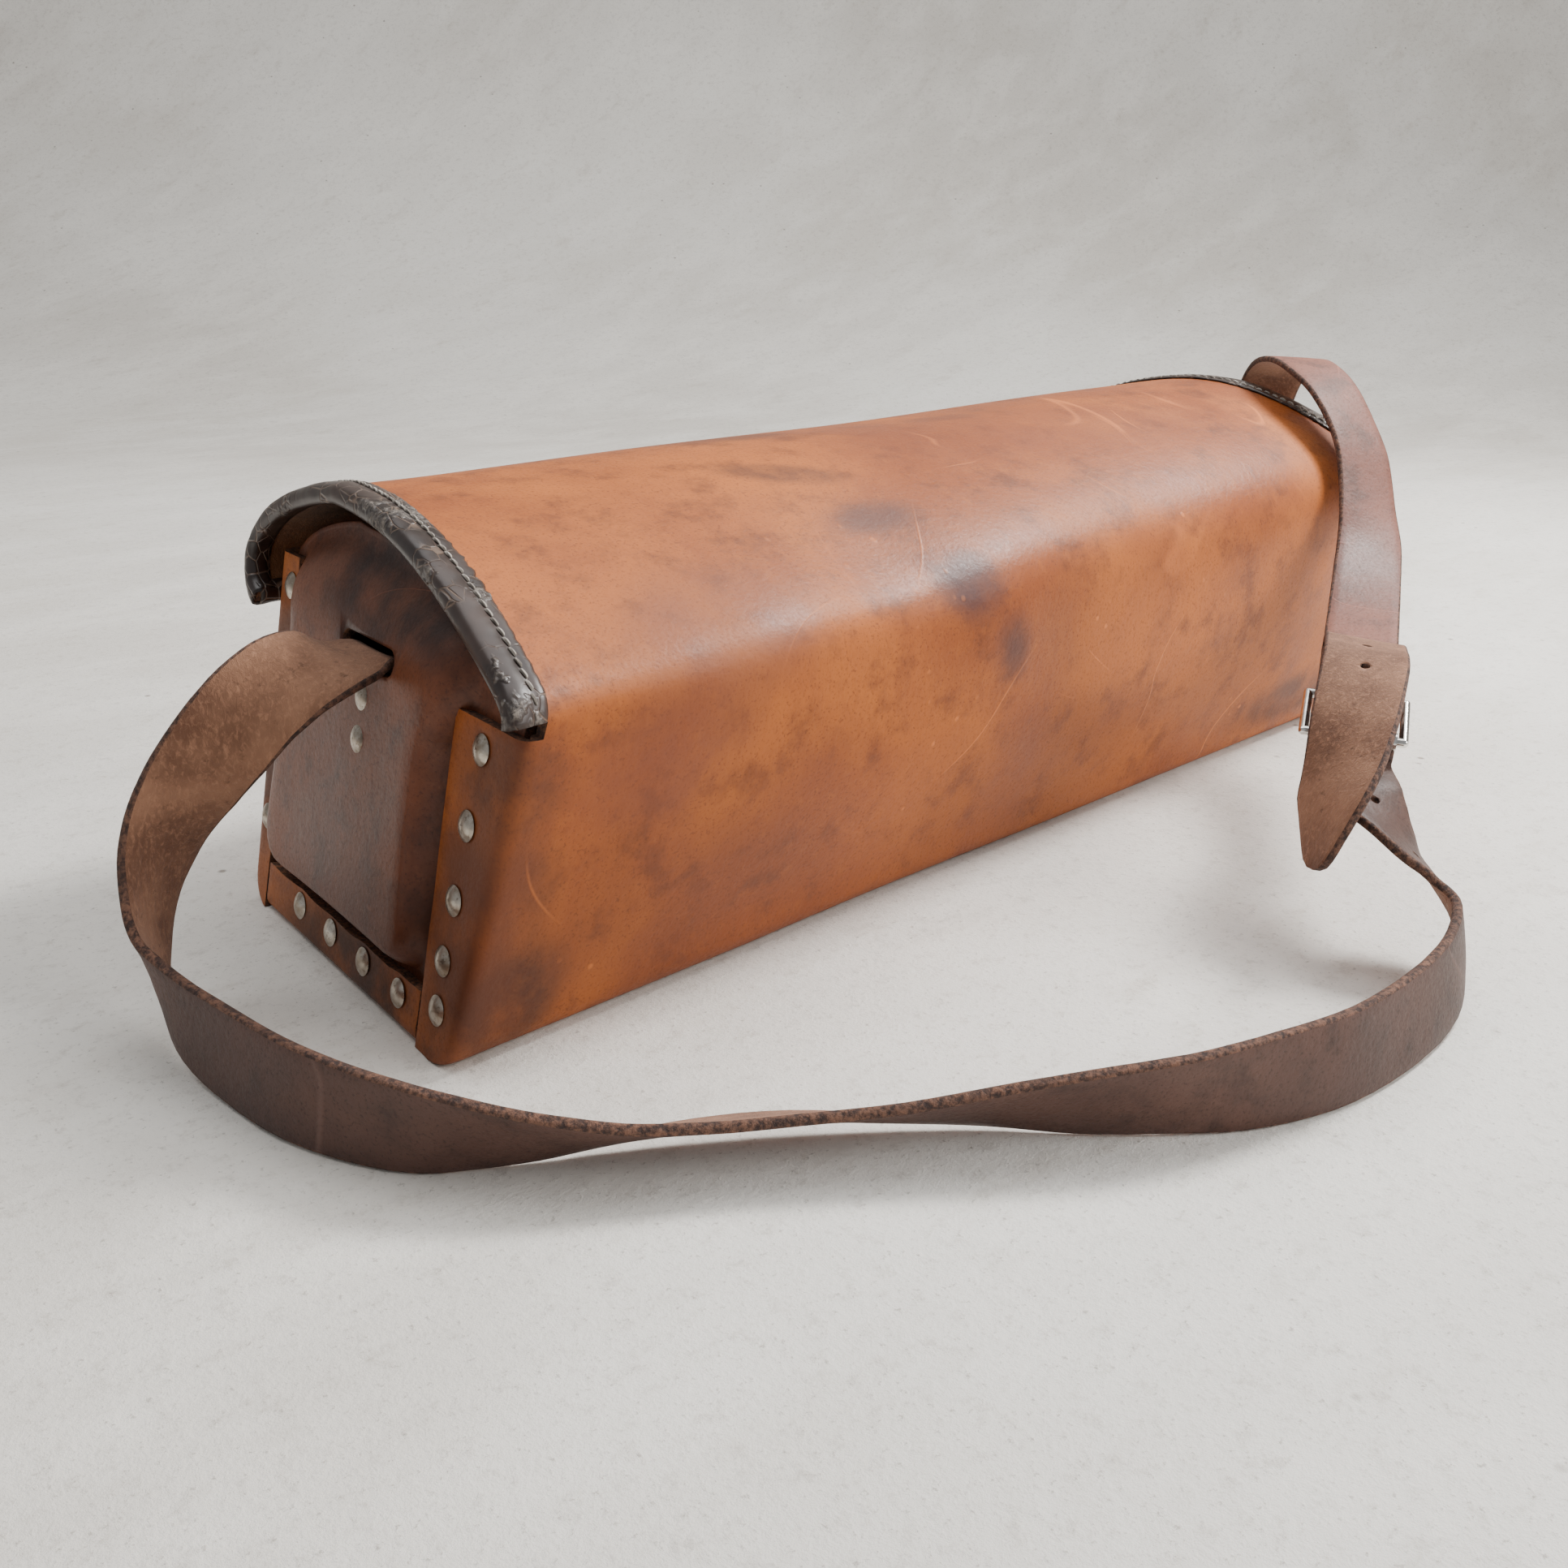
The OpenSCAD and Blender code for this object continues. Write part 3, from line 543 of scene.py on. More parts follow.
def suede_material(name, pale, dark, seed=0.0):
    """The fibrous flesh side of leather."""
    n = Nodes(name, roughness=0.95)
    place = n.stretched(shift=(seed, 0, seed))
    clouds = n.noise(30, 4, 0.6, place)
    fibres = n.noise(700, 4, 0.75, n.stretched((1, 1, 0.5), shift=(seed, 1, 0)), 0.6)
    colour = n.blend(n.ramp(clouds, 0.3, 0.7), dark, pale)
    colour = n.blend(n.ramp(fibres, 0.45, 0.75, 0, 0.55), colour, lighter(pale, 1.5))
    crumbs = n.ramp(n.noise(260, 3, 0.7, place), 0.58, 0.75, 0, 0.6)
    colour = n.blend(crumbs, colour, lighter(dark, 0.5))
    relief = n.bump(fibres, 0.7, 0.0009)
    relief = n.bump(clouds, 0.3, 0.002, relief)
    n.shader.inputs["Sheen Weight"].default_value = 0.12
    n.shader.inputs["Sheen Roughness"].default_value = 0.5
    n.shader.inputs["Specular IOR Level"].default_value = 0.2
    return n.finish(colour, None, relief)


def edge_material(name, pale, dark):
    """A cut leather edge, rough with crushed fibres."""
    n = Nodes(name, roughness=0.85)
    crumbs = n.noise(520, 4, 0.7)
    colour = n.blend(n.ramp(crumbs, 0.35, 0.68), dark, pale)
    colour = n.blend(n.ramp(n.noise(60, 3), 0.5, 0.7, 0, 0.5), colour, dark)
    return n.finish(colour, None, n.bump(crumbs, 0.8, 0.001))


def binding_material(name):
    """Dark glossy binding with fine cracks and greyed patches that have worn fuzzy."""
    n = Nodes(name)
    folds = n.noise(35, 3, 0.6)
    colour = n.blend(n.ramp(folds, 0.35, 0.7), srgb(38, 27, 23), srgb(66, 50, 43))
    cracks = n.ramp(n.cells(150, "DISTANCE_TO_EDGE", n.stretched((1.4, 0.8, 1))), 0.0, 0.07, 1, 0)
    cracks = n.product(cracks, n.ramp(n.noise(45, 3), 0.46, 0.6))
    colour = n.blend(cracks, colour, srgb(112, 92, 78))
    fuzz = n.noise(420, 4, 0.75)
    worn = n.ramp(n.noise(34, 4, 0.7, n.stretched(shift=(4, 2, 0))), 0.57, 0.64)
    grey = n.blend(n.ramp(fuzz, 0.35, 0.7), srgb(58, 52, 50), srgb(140, 130, 120))
    colour = n.blend(worn, colour, grey)
    rough = n.maths("MAXIMUM", n.ramp(folds, 0.3, 0.7, 0.3, 0.42), n.product(worn, 0.9))
    relief = n.bump(folds, 0.4, 0.002)
    relief = n.bump(n.maths("SUBTRACT", 1.0, cracks), 0.5, 0.0008, relief)
    relief = n.bump(n.product(fuzz, worn), 0.9, 0.0016, relief)
    return n.finish(colour, rough, relief)


def thread_material(name):
    n = Nodes(name, roughness=0.9)
    turned = n.stretched(turn=(0.5, 0.3, 0.6))
    twist = n.add("ShaderNodeTexWave", {"Vector": turned, "Scale": 330.0, "Distortion": 1.0}).outputs["Fac"]
    colour = n.blend(n.ramp(n.noise(90, 3), 0.35, 0.65), srgb(120, 112, 104), srgb(176, 168, 158))
    colour = n.blend(n.ramp(twist, 0.2, 0.6, 0.45, 0), colour, srgb(70, 62, 56))
    return n.finish(colour, None, n.bump(twist, 0.5, 0.0003))


def metal_material(name, bright, dull, tarnish, shine, wear=0.5):
    """Nickel with tarnish in its hollows and fine rubbing."""
    n = Nodes(name, metallic=1.0)
    clouds = n.noise(140, 4, 0.65)
    rub = n.noise(900, 3, 0.7, n.stretched((1, 0.25, 1), (0.4, 0.2, 0.3)))
    colour = n.blend(n.ramp(clouds, 0.35, 0.65), bright, dull)
    colour = n.blend(n.ramp(n.noise(330, 4, 0.7), 0.55, 0.7, 0, wear), colour, tarnish)
    haze = n.maths("ADD", n.product(clouds, 0.6), n.product(rub, 0.4))
    rough = n.ramp(haze, 0.3, 0.7, *shine)
    relief = n.bump(rub, 0.12, 0.0003)
    relief = n.bump(clouds, 0.2, 0.0006, relief)
    return n.finish(colour, rough, relief)


COGNAC = (srgb(180, 100, 38), srgb(146, 74, 28), srgb(84, 38, 18))
# Spots on the cognac leather, as centre, size, turn, tint and amount: scuffs and dark marks, and painted
# shade on the left end's flanges.
SCUFFS_AND_PAINTED_SHADE = (
    ((-0.079, -0.072, 0.151), (0.030, 0.034, 0.012), (0.45, 0, 0), srgb(84, 50, 42), 0.75),
    ((-0.066, -0.104, 0.132), (0.022, 0.016, 0.030), (0, 0.5, 0), srgb(78, 46, 44), 0.95),
    ((-0.042, -0.101, 0.100), (0.016, 0.016, 0.022), (0, 0.4, 0), srgb(84, 48, 40), 0.9),
    ((-0.205, -0.101, 0.095), (0.050, 0.030, 0.030), (0, 0.3, 0), srgb(122, 66, 44), 0.7),
    ((-0.18, -0.1, 0.13), (0.06, 0.05, 0.03), (0, 0, 0), srgb(138, 78, 50), 0.6),
    ((0.217, -0.088, 0.022), (0.075, 0.05, 0.018), (0, 0, 0), srgb(70, 38, 28), 0.8),
    # Painted shade down the left end's near flange and its fold, which face away from the light.
    ((-0.262, -0.09, 0.02), (0.030, 0.04, 0.03), (0, 0, 0), srgb(58, 32, 22), 0.85),
    ((-0.262, -0.09, 0.095), (0.026, 0.04, 0.026), (0, 0, 0), srgb(72, 38, 24), 0.75),
    ((-0.262, -0.09, 0.06), (0.022, 0.04, 0.03), (0, 0, 0), srgb(86, 46, 28), 0.65),
    # Darker along the foot of the left end, towards the floor.
    ((-0.285, 0.0, 0.008), (0.035, 0.13, 0.03), (0, 0, 0), srgb(58, 33, 22), 0.95),
    # Painted shade on the left end's near and far flanges.
    ((-0.275, -0.075, 0.06), (0.018, 0.03, 0.09), (0, 0.2, 0), srgb(96, 50, 26), 0.9),
    ((-0.255, 0.08, 0.08), (0.03, 0.025, 0.09), (0, 0, 0), srgb(72, 38, 22), 0.9),
    ((-0.070, 0.033, 0.163), (0.05, 0.02, 0.02), (0, 0, 0.3), srgb(78, 44, 32), 0.6),
    ((-0.091, -0.028, 0.162), (0.035, 0.012, 0.02), (0, 0, 0.5), srgb(74, 42, 32), 0.7),
    ((0.043, 0.007, 0.165), (0.03, 0.012, 0.02), (0, 0, 0.2), srgb(80, 45, 34), 0.6),
    ((-0.234, -0.107, 0.124), (0.005, 0.01, 0.005), (0, 0, 0), srgb(60, 36, 30), 0.9),
    ((0.05, -0.02, 0.162), (0.16, 0.05, 0.02), (0, 0, 0.1), srgb(132, 68, 38), 0.6),
)
tan_leather = leather_material("tan_leather", *COGNAC, spots=SCUFFS_AND_PAINTED_SHADE)
tan_suede = suede_material("tan_suede", srgb(150, 104, 70), srgb(104, 66, 42))
raw_edge = edge_material("raw_edge", srgb(128, 84, 54), srgb(48, 28, 20))
PANEL_PAINTED_SHADE_AND_DARKS = (
    # Painted shadow of the lid across the top of the end panel.
    ((-0.25, -0.02, 0.14), (0.05, 0.12, 0.035), (0, 0, 0), srgb(40, 17, 9), 0.95),
    # Darker towards the panel's near lower corner.
    ((-0.27, -0.06, 0.03), (0.04, 0.07, 0.03), (0, 0, 0), srgb(60, 30, 18), 0.6),
)
panel_leather = leather_material("panel_leather", srgb(128, 72, 44), srgb(92, 48, 28), srgb(48, 25, 18),
                                 shine=(0.3, 0.46), spots=PANEL_PAINTED_SHADE_AND_DARKS, scratch=0.2, seed=2.0)
strap_grain = leather_material("strap_grain", srgb(94, 66, 56), srgb(72, 48, 41), srgb(40, 26, 23),
                               shine=(0.42, 0.62), scratch=0.3, grain=1.6, seed=4.0)
strap_suede = suede_material("strap_suede", srgb(152, 112, 88), srgb(104, 72, 56), 1.0)
strap_edge = edge_material("strap_edge", srgb(120, 84, 66), srgb(48, 32, 28))
short_grain = leather_material("short_grain", srgb(132, 82, 66), srgb(102, 60, 48), srgb(56, 35, 30),
                               shine=(0.46, 0.64), scratch=0.4, grain=1.4, seed=6.0)
tab_leather = leather_material("tab_leather", srgb(140, 84, 48), srgb(112, 62, 36), srgb(62, 34, 24),
                               seed=8.0)
binding_leather = binding_material("binding_leather")
thread = thread_material("thread")
rivet_nickel = metal_material("rivet_nickel", srgb(196, 188, 176), srgb(150, 136, 120), srgb(84, 62, 46),
                              (0.24, 0.42), 0.7)
buckle_nickel = metal_material("buckle_nickel", srgb(228, 226, 222), srgb(196, 192, 186), srgb(120, 108, 96),
                               (0.12, 0.26), 0.35)
hollow_brass = metal_material("hollow_brass", srgb(128, 108, 86), srgb(88, 72, 58), srgb(44, 36, 30),
                              (0.35, 0.55), 0.6)
lock_nickel = metal_material("lock_nickel", srgb(206, 202, 194), srgb(164, 158, 148), srgb(98, 86, 74),
                             (0.22, 0.38), 0.5)
dull_steel = metal_material("dull_steel", srgb(148, 144, 138), srgb(112, 108, 102), srgb(70, 58, 48),
                            (0.4, 0.6), 0.6)


def paint(material, *names):
    """Gives CAD nodes a material in place of their plain one."""
    for name in names:
        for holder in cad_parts[name].material_slots:
            holder.material = material


paint(rivet_nickel, "rivets_left", "rivets_right", "strap_rivets_left", "strap_rivets_right",
      "tab_rivets_left", "tab_rivets_right")
paint(dull_steel, "burrs_left", "burrs_right", "strap_burrs_left", "strap_burrs_right",
      "tab_burrs_left", "tab_burrs_right", "lock_washer_left", "lock_washer_right")
paint(buckle_nickel, "buckle_frame", "buckle_roller", "buckle_prong")
paint(hollow_brass, "buckle_rivet")
paint(lock_nickel, "lock_plate_left", "lock_plate_right", "lock_knob_left", "lock_knob_right",
      "eyelet_left", "eyelet_right")


# ---- leather sheets of the tub and the lid ----

def back_place(z):
    return -(BACK_FOOT + BACK_FLARE * z / HINGE_HEIGHT)


def front_place(z):
    return FRONT_FOOT + FRONT_FLARE * z / FRONT_HEIGHT


def dome_place(angle, out):
    """A place (y, z) on the dome, out past its face; its back half is worn to a flatter slope."""
    turn = math.radians(angle)
    side = math.copysign(1, math.cos(turn))
    worn = BACK_SLOPE if side < 0 else 1
    return (side * (DOME_HALF + out) * abs(math.cos(turn)) ** worn,
            WIDEST_HEIGHT + (DOME_RISE + out) * abs(math.sin(turn)) ** worn)


def arc_points(centre_y, centre_z, radius, start, end, steps):
    """Points (y, z) on an arc, angles in degrees, both ends included."""
    turns = [math.radians(mix(start, end, i / steps)) for i in range(steps + 1)]
    return [(centre_y + radius * math.cos(turn), centre_z + radius * math.sin(turn)) for turn in turns]


def line_points(start, end, step):
    """Points (y, z) from start to end, both included."""
    count = max(1, round(math.dist(start, end) / step))
    return [(mix(start[0], end[0], i / count), mix(start[1], end[1], i / count)) for i in range(count + 1)]


def runs_along(rows):
    """The distance run up to each row, from its y and z."""
    runs = [0.0]
    for first, second in zip(rows, rows[1:]):
        runs.append(runs[-1] + math.dist(first[:2], second[:2]))
    return runs


FOLD_RADIUS = 6 * MM
BACK_FLANGE_TOP = 110 * MM
FRONT_FLANGE_TOP = 132 * MM
OVERHANG_START = 114 * MM
BACK_FREE_EDGE = -60 * MM
FRONT_FREE_EDGE = 72 * MM
FLANGE_RISE = 18 * MM
# Where the rivets pull the flanges in, in millimetres.
DIMPLES = (
    [(-71, 17), (-71, 33), (-73, 53), (-75, 77), (-78, 101)]
    + [(y, 12) for y in (-44, -16, 12, 40)]
    + [(78.5, z) for z in (34, 63, 92, 121)])
DIMPLE_SPREAD = 6.5 * MM
sheet_waves = waves(11, 9, 0.07, 0.4)
edge_waves = waves(5, 8, 0.012, 0.07)


def wall_x(side, y, z, out):
    """The X at which the wall at place y, height z is 'out' past the end's plane."""
    edge = end_point(side, y, z, 0)
    return edge.x + side * out / (math.cos(END_LEAN) * math.cos(skew_of(side)))


def dimple(y, z):
    """How far a rivet has pulled the flange in at a place."""
    aways = [math.dist((y, z), (rivet_y * MM, rivet_z * MM)) for rivet_y, rivet_z in DIMPLES]
    return 0.9 * MM * min(sum(math.exp(-(away / DIMPLE_SPREAD) ** 2) for away in aways), 1)


def worn_place(y, z, t):
    """Where age has moved a place (y, z) of the lid, t of the way along the bag from its left end."""
    if z <= HINGE_HEIGHT:
        return y, z
    rise = z - HINGE_HEIGHT
    # The left end's back slope has sunk almost to a straight slope.
    sunk = ease(1 - t / 0.6)
    u = max(0, min(1, (33 * MM - y) / (136 * MM)))
    new_z = HINGE_HEIGHT + rise * (1 - sunk * min(0.8, 0.4 * u + 0.44 * u ** 7))
    new_y = y + sunk * max(0, -105.5 * MM - y)
    # The right end stands up taller and rounder.
    full = ease((t - 0.5) * 2)
    crown = math.sin(math.pi * max(0, min(1, (75 * MM - y) / (190 * MM)))) ** 0.8
    return new_y, new_z + full * 8 * MM * crown * min(1, rise / (14 * MM))


class Sheet:
    """Grid of points for one sheet: a profile round the bag by columns along it."""

    def __init__(self):
        self.points = []
        self.faces = []

    def grid(self, rows, keep=None):
        """Adds a grid given as rows of points; keep says which strips between rows exist."""
        width = len(rows[0])
        base = len(self.points)
        for row in rows:
            self.points.extend(row)
        for i in range(len(rows) - 1):
            if keep and not keep[i]:
                continue
            for j in range(width - 1):
                a = base + i * width + j
                self.faces.append((a, a + 1, a + width + 1, a + width))


def flange_target(kind, y, z):
    """Where a flange that starts at (y, z) on the outline ends, in the end's plane."""
    if kind == "back":
        return (BACK_FREE_EDGE + 1.0 * MM * edge_waves(Vector((0, y, z * 1.3))), z)
    if kind == "front":
        return (FRONT_FREE_EDGE + 1.2 * MM * edge_waves(Vector((0.5, y, z * 1.3))), z)
    return (y, FLANGE_RISE + 1.2 * MM * edge_waves(Vector((0.2, y * 1.3, z))))


def flange_row(side, kind, y, z):
    """Points from the wall, round the fold and along the flange to its free edge."""
    corner = end_point(side, y, z, 0)
    target = flange_target(kind, y, z)
    inner = end_point(side, target[0], target[1], 0)
    reach = (inner - corner).length
    radius = min(FOLD_RADIUS, reach * 0.9)
    inward = (inner - corner).normalized() if reach > 0 else Vector((0, 0, 1))
    start = Vector((wall_x(side, y, z, -FOLD_RADIUS), y, z))
    bend = corner + inward * radius
    row = []
    for i in range(6):
        t = i / 5
        row.append(start * (1 - t) ** 2 + corner * (2 * t * (1 - t)) + bend * t * t)
    outward = end_point(side, y, z, 1) - corner
    outward.normalize()
    for i in range(1, 8):
        point = bend.lerp(inner, i / 7)
        lift = 0.5 * MM * edge_waves(point * 0.6) - dimple(point.y, point.z)
        row.append(point + outward * lift * min(1, i / 3))
    return row


lid_edges = {-1: [], 1: []}


SHOULDER_PASSES = 44


def soften_shoulder(rows, profile):
    """Rounds the bend between the back wall and the lid, except where the flanges hold the wall's ends."""
    low = next(i for i, row in enumerate(profile) if row[1] > 70 * MM)
    high = next(i for i, row in enumerate(profile) if row[0] > -30 * MM and row[1] > HINGE_HEIGHT)
    last = len(rows[0]) - 1
    for turn in range(SHOULDER_PASSES):
        eased = [list(row) for row in rows]
        for i in range(low, high):
            held = profile[i][1] < 117 * MM
            edge = min(1, (i - low) / 8, (high - i) / 8)
            for j in range(last + 1):
                free = ease(min(j, last - j) / last * 10) if held else 1
                near = (rows[i - 1][j] + rows[i + 1][j]) / 2
                eased[i][j] = rows[i][j].lerp(near, 0.5 * edge * free)
        rows[:] = eased


def build_sheet(name, profile, kinds, columns, overhang_rows=None):
    """One leather sheet from a profile of (y, z, outward y, outward z) and the kind of flange at each row."""
    sheet = Sheet()
    main_rows = []
    for (y, z, ny, nz), kind in zip(profile, kinds):
        left = wall_x(-1, *worn_place(y, z, 0), -FOLD_RADIUS)
        right = wall_x(1, *worn_place(y, z, 1), -FOLD_RADIUS)
        row = []
        for j in range(columns + 1):
            t = j / columns
            x = mix(left, right, t)
            swell = shape_of(x, y, z, t)
            worn_y, worn_z = worn_place(y, z, t)
            row.append(Vector((x, worn_y + ny * swell, worn_z + nz * swell)))
        main_rows.append(row)
    if overhang_rows:
        soften_shoulder(main_rows, profile)
    sheet.grid(main_rows)
    for side in (-1, 1):
        rows = [flange_row(side, kind or "bottom", y, z) for (y, z, ny, nz), kind in zip(profile, kinds)]
        sheet.grid(rows, [first is not None and first == second for first, second in zip(kinds, kinds[1:])])
        if overhang_rows:
            rows = []
            for main_row in main_rows[overhang_rows:]:
                edge = main_row[0 if side < 0 else -1]
                y, z = edge.y, edge.z
                lid_edges[side].append((y, z))
                steps = (-FOLD_RADIUS, -3 * MM, 0, 3 * MM, OVERHANG)
                rows.append([Vector((wall_x(side, y, z, out), y, z)) for out in steps])
            sheet.grid(rows)
    piece = new_piece(name, sheet.points, sheet.faces, [tan_leather, tan_suede, raw_edge])
    weld(piece)
    return piece


# Swellings and dents: where, how wide each way, how far out.
DENTS = (
    ((-0.165, -0.105, 0.128), (0.05, 0.03, 0.03), 0.004),
    ((-0.095, -0.085, 0.142), (0.03, 0.03, 0.02), -0.0045),
    ((-0.045, -0.104, 0.118), (0.028, 0.03, 0.026), 0.003),
    ((0.06, -0.1, 0.13), (0.05, 0.04, 0.03), -0.002),
    ((0.19, -0.1, 0.08), (0.06, 0.03, 0.04), 0.002),
)


def shape_of(x, y, z, t):
    """How far the worn leather stands out from its even shape: nothing at the ends, soft waves between."""
    free = ease(min(t, 1 - t) * 9)
    swell = 1.6 * MM * sheet_waves(Vector((x, y * 2, z * 2)))
    if z > 140 * MM:
        swell += 1.5 * MM * math.sin(math.pi * t)
    if 20 * MM < z < 125 * MM and y < 0:
        swell += 6 * MM * math.sin(math.pi * t) ** 0.7 * math.sin(math.pi * (z - 20 * MM) / (105 * MM))
    for centre, size, amount in DENTS:
        away = sum(((a - b) / c) ** 2 for a, b, c in zip((x, y, z), centre, size))
        swell += amount * math.exp(-away)
    if z < FOOT_RADIUS:
        swell = min(swell, 0)
    return swell * free


def outward_of(points):
    """Adds each profile point's outward direction, on the left of the way it runs."""
    rows = []
    for i, (y, z) in enumerate(points):
        before = points[max(i - 1, 0)]
        after = points[min(i + 1, len(points) - 1)]
        along = Vector((after[0] - before[0], after[1] - before[1])).normalized()
        rows.append((y, z, along.y, -along.x))
    return rows


# The back wall and the lid are one sheet, from under the bag up, over and down to the lip.
SLIT = 0.8 * MM
corner_y = back_place(FOOT_RADIUS) + FOOT_RADIUS
back_points = line_points((BACK_FREE_EDGE, 0), (corner_y, 0), 4 * MM)
back_points += arc_points(corner_y, FOOT_RADIUS, FOOT_RADIUS, 270, 180, 7)[1:]
back_points += line_points(back_points[-1], (back_place(BACK_FLANGE_TOP), BACK_FLANGE_TOP), 3 * MM)[1:]
flange_rows = len(back_points)
back_points += line_points(back_points[-1], (back_place(OVERHANG_START), OVERHANG_START), 2 * MM)[1:]
overhang_first = len(back_points) - 1
back_points += line_points(back_points[-1], (back_place(HINGE_HEIGHT), HINGE_HEIGHT), 3 * MM)[1:]
back_points += [dome_place(180 - 3 * i, 0) for i in range(61)]
back_points += arc_points(DOME_HALF - LIP_RADIUS, WIDEST_HEIGHT, LIP_RADIUS, 0, -LIP_ANGLE, 6)[1:]
for turn in range(10):
    eased = list(back_points)
    for i in range(overhang_first - 4, len(back_points) - 24):
        eased[i] = tuple((a + 2 * b + c) / 4 for a, b, c in zip(*back_points[i - 1:i + 2]))
    back_points = eased
back_profile = [(y, z, -ny, -nz) for y, z, ny, nz in outward_of(back_points)]
# Only rows that have left the bottom, and lie below the lid, carry a flange.
back_kinds = ["back" if i < flange_rows and z > 0.1 * MM else None for i, (y, z) in enumerate(back_points)]
SHEET_COLUMNS = 112
lid_sheet = build_sheet("back_and_lid_sheet", back_profile, back_kinds, SHEET_COLUMNS, overhang_first)

# The bottom and the front wall are the rest of the same sheet.
front_corner = front_place(FOOT_RADIUS) - FOOT_RADIUS
front_points = line_points((BACK_FREE_EDGE + SLIT, 0), (FRONT_FREE_EDGE - SLIT, 0), 4 * MM)
bottom_rows = len(front_points)
front_points += line_points((FRONT_FREE_EDGE, 0), (front_corner, 0), 3 * MM)
front_points += arc_points(front_corner, FOOT_RADIUS, FOOT_RADIUS, 270, 360, 7)[1:]
front_points += line_points(front_points[-1], (front_place(FRONT_FLANGE_TOP), FRONT_FLANGE_TOP), 3 * MM)[1:]
front_profile = [(y, z, ny, nz) for y, z, ny, nz in outward_of(front_points)]
front_kinds = ["bottom"] * bottom_rows + ["front"] * (len(front_points) - bottom_rows)
for i in range(bottom_rows, len(front_points)):
    if front_points[i][1] < 0.1 * MM:
        front_kinds[i] = None
tub_sheet = build_sheet("bottom_and_front_sheet", front_profile, front_kinds, SHEET_COLUMNS)


def thicken_sheet(piece):
    centre = Vector((0, 0, 70 * MM))
    outward = sum(1 if face.normal.dot(face.center - centre) > 0 else -1 for face in piece.data.polygons)
    if outward < 0:
        piece.data.flip_normals()
    thicken(piece, LEATHER)


thicken_sheet(lid_sheet)
thicken_sheet(tub_sheet)
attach(tub_sheet, "bag")
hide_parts("body")
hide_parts("lid")
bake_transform(lid_sheet)


# ---- end panels ----

def outline_radius(outline, centre, turn):
    """Distance from centre to a closed outline along a direction."""
    way = Vector((math.cos(turn), math.sin(turn)))
    best = 0
    for i, first in enumerate(outline):
        second = outline[(i + 1) % len(outline)]
        a = Vector(first) - centre
        edge = Vector(second) - Vector(first)
        across = way.x * edge.y - way.y * edge.x
        if abs(across) < 1e-12:
            continue
        reach = (a.x * edge.y - a.y * edge.x) / across
        along = (a.x * way.y - a.y * way.x) / across
        if reach > 0 and -1e-9 <= along <= 1 + 1e-9:
            best = max(best, reach)
    return best


PANEL_CENTRE = Vector((4 * MM, 82 * MM))
rim_outline = [(-74, 7), (-80, 14), (-96, 115)]
for angle in range(174, 5, -6):
    turn = math.radians(angle)
    rim_outline.append((-4 + 91 * math.cos(turn), 127 + 27 * math.sin(turn)))
rim_outline += [(84, 115), (80, 14), (74, 7)]
bulge_outline = [(-56, 27), (-50, 21), (60, 21), (68, 29)]
for angle in range(12, 169, 12):
    turn = math.radians(angle)
    bulge_outline.append((5 + 63 * math.cos(turn), 127 + 25 * math.sin(turn)))
panel_waves = waves(23, 8, 0.05, 0.2)


def rounded_radius(outline, turn, spread):
    """The outline's radius averaged over nearby directions, which rounds its corners."""
    scaled = [(y * MM, z * MM) for y, z in outline]
    samples = [outline_radius(scaled, PANEL_CENTRE, turn + spread * k / 3) for k in (-2, -1, 0, 1, 2)]
    return sum(samples) / len(samples)


def under_lid(outline, side):
    """An outline in millimetres, lowered to stay under the lid where the lid has sunk."""
    lowered = []
    for y, z in outline:
        worn_y, worn_z = worn_place(y * MM, z * MM, 0)
        sunk_z = worn_z / MM - (1.2 if worn_z < z * MM else 0)
        lowered.append((y, sunk_z) if side < 0 else (y, z))
    return lowered


PANEL_SPOKES = 96
# Rings on the flat of the bulge, as shares of its reach.
PANEL_SHARES = (0.12, 0.24, 0.36, 0.48, 0.6, 0.72, 0.82, 0.91)
# Rings on its slope: how far inside its foot, and how high.
PANEL_SLOPE = ((9, 6.9), (6.5, 6.3), (4.5, 4.8), (3, 2.6), (1.8, -0.4), (0.8, -2.8), (-0.4, -4.0))


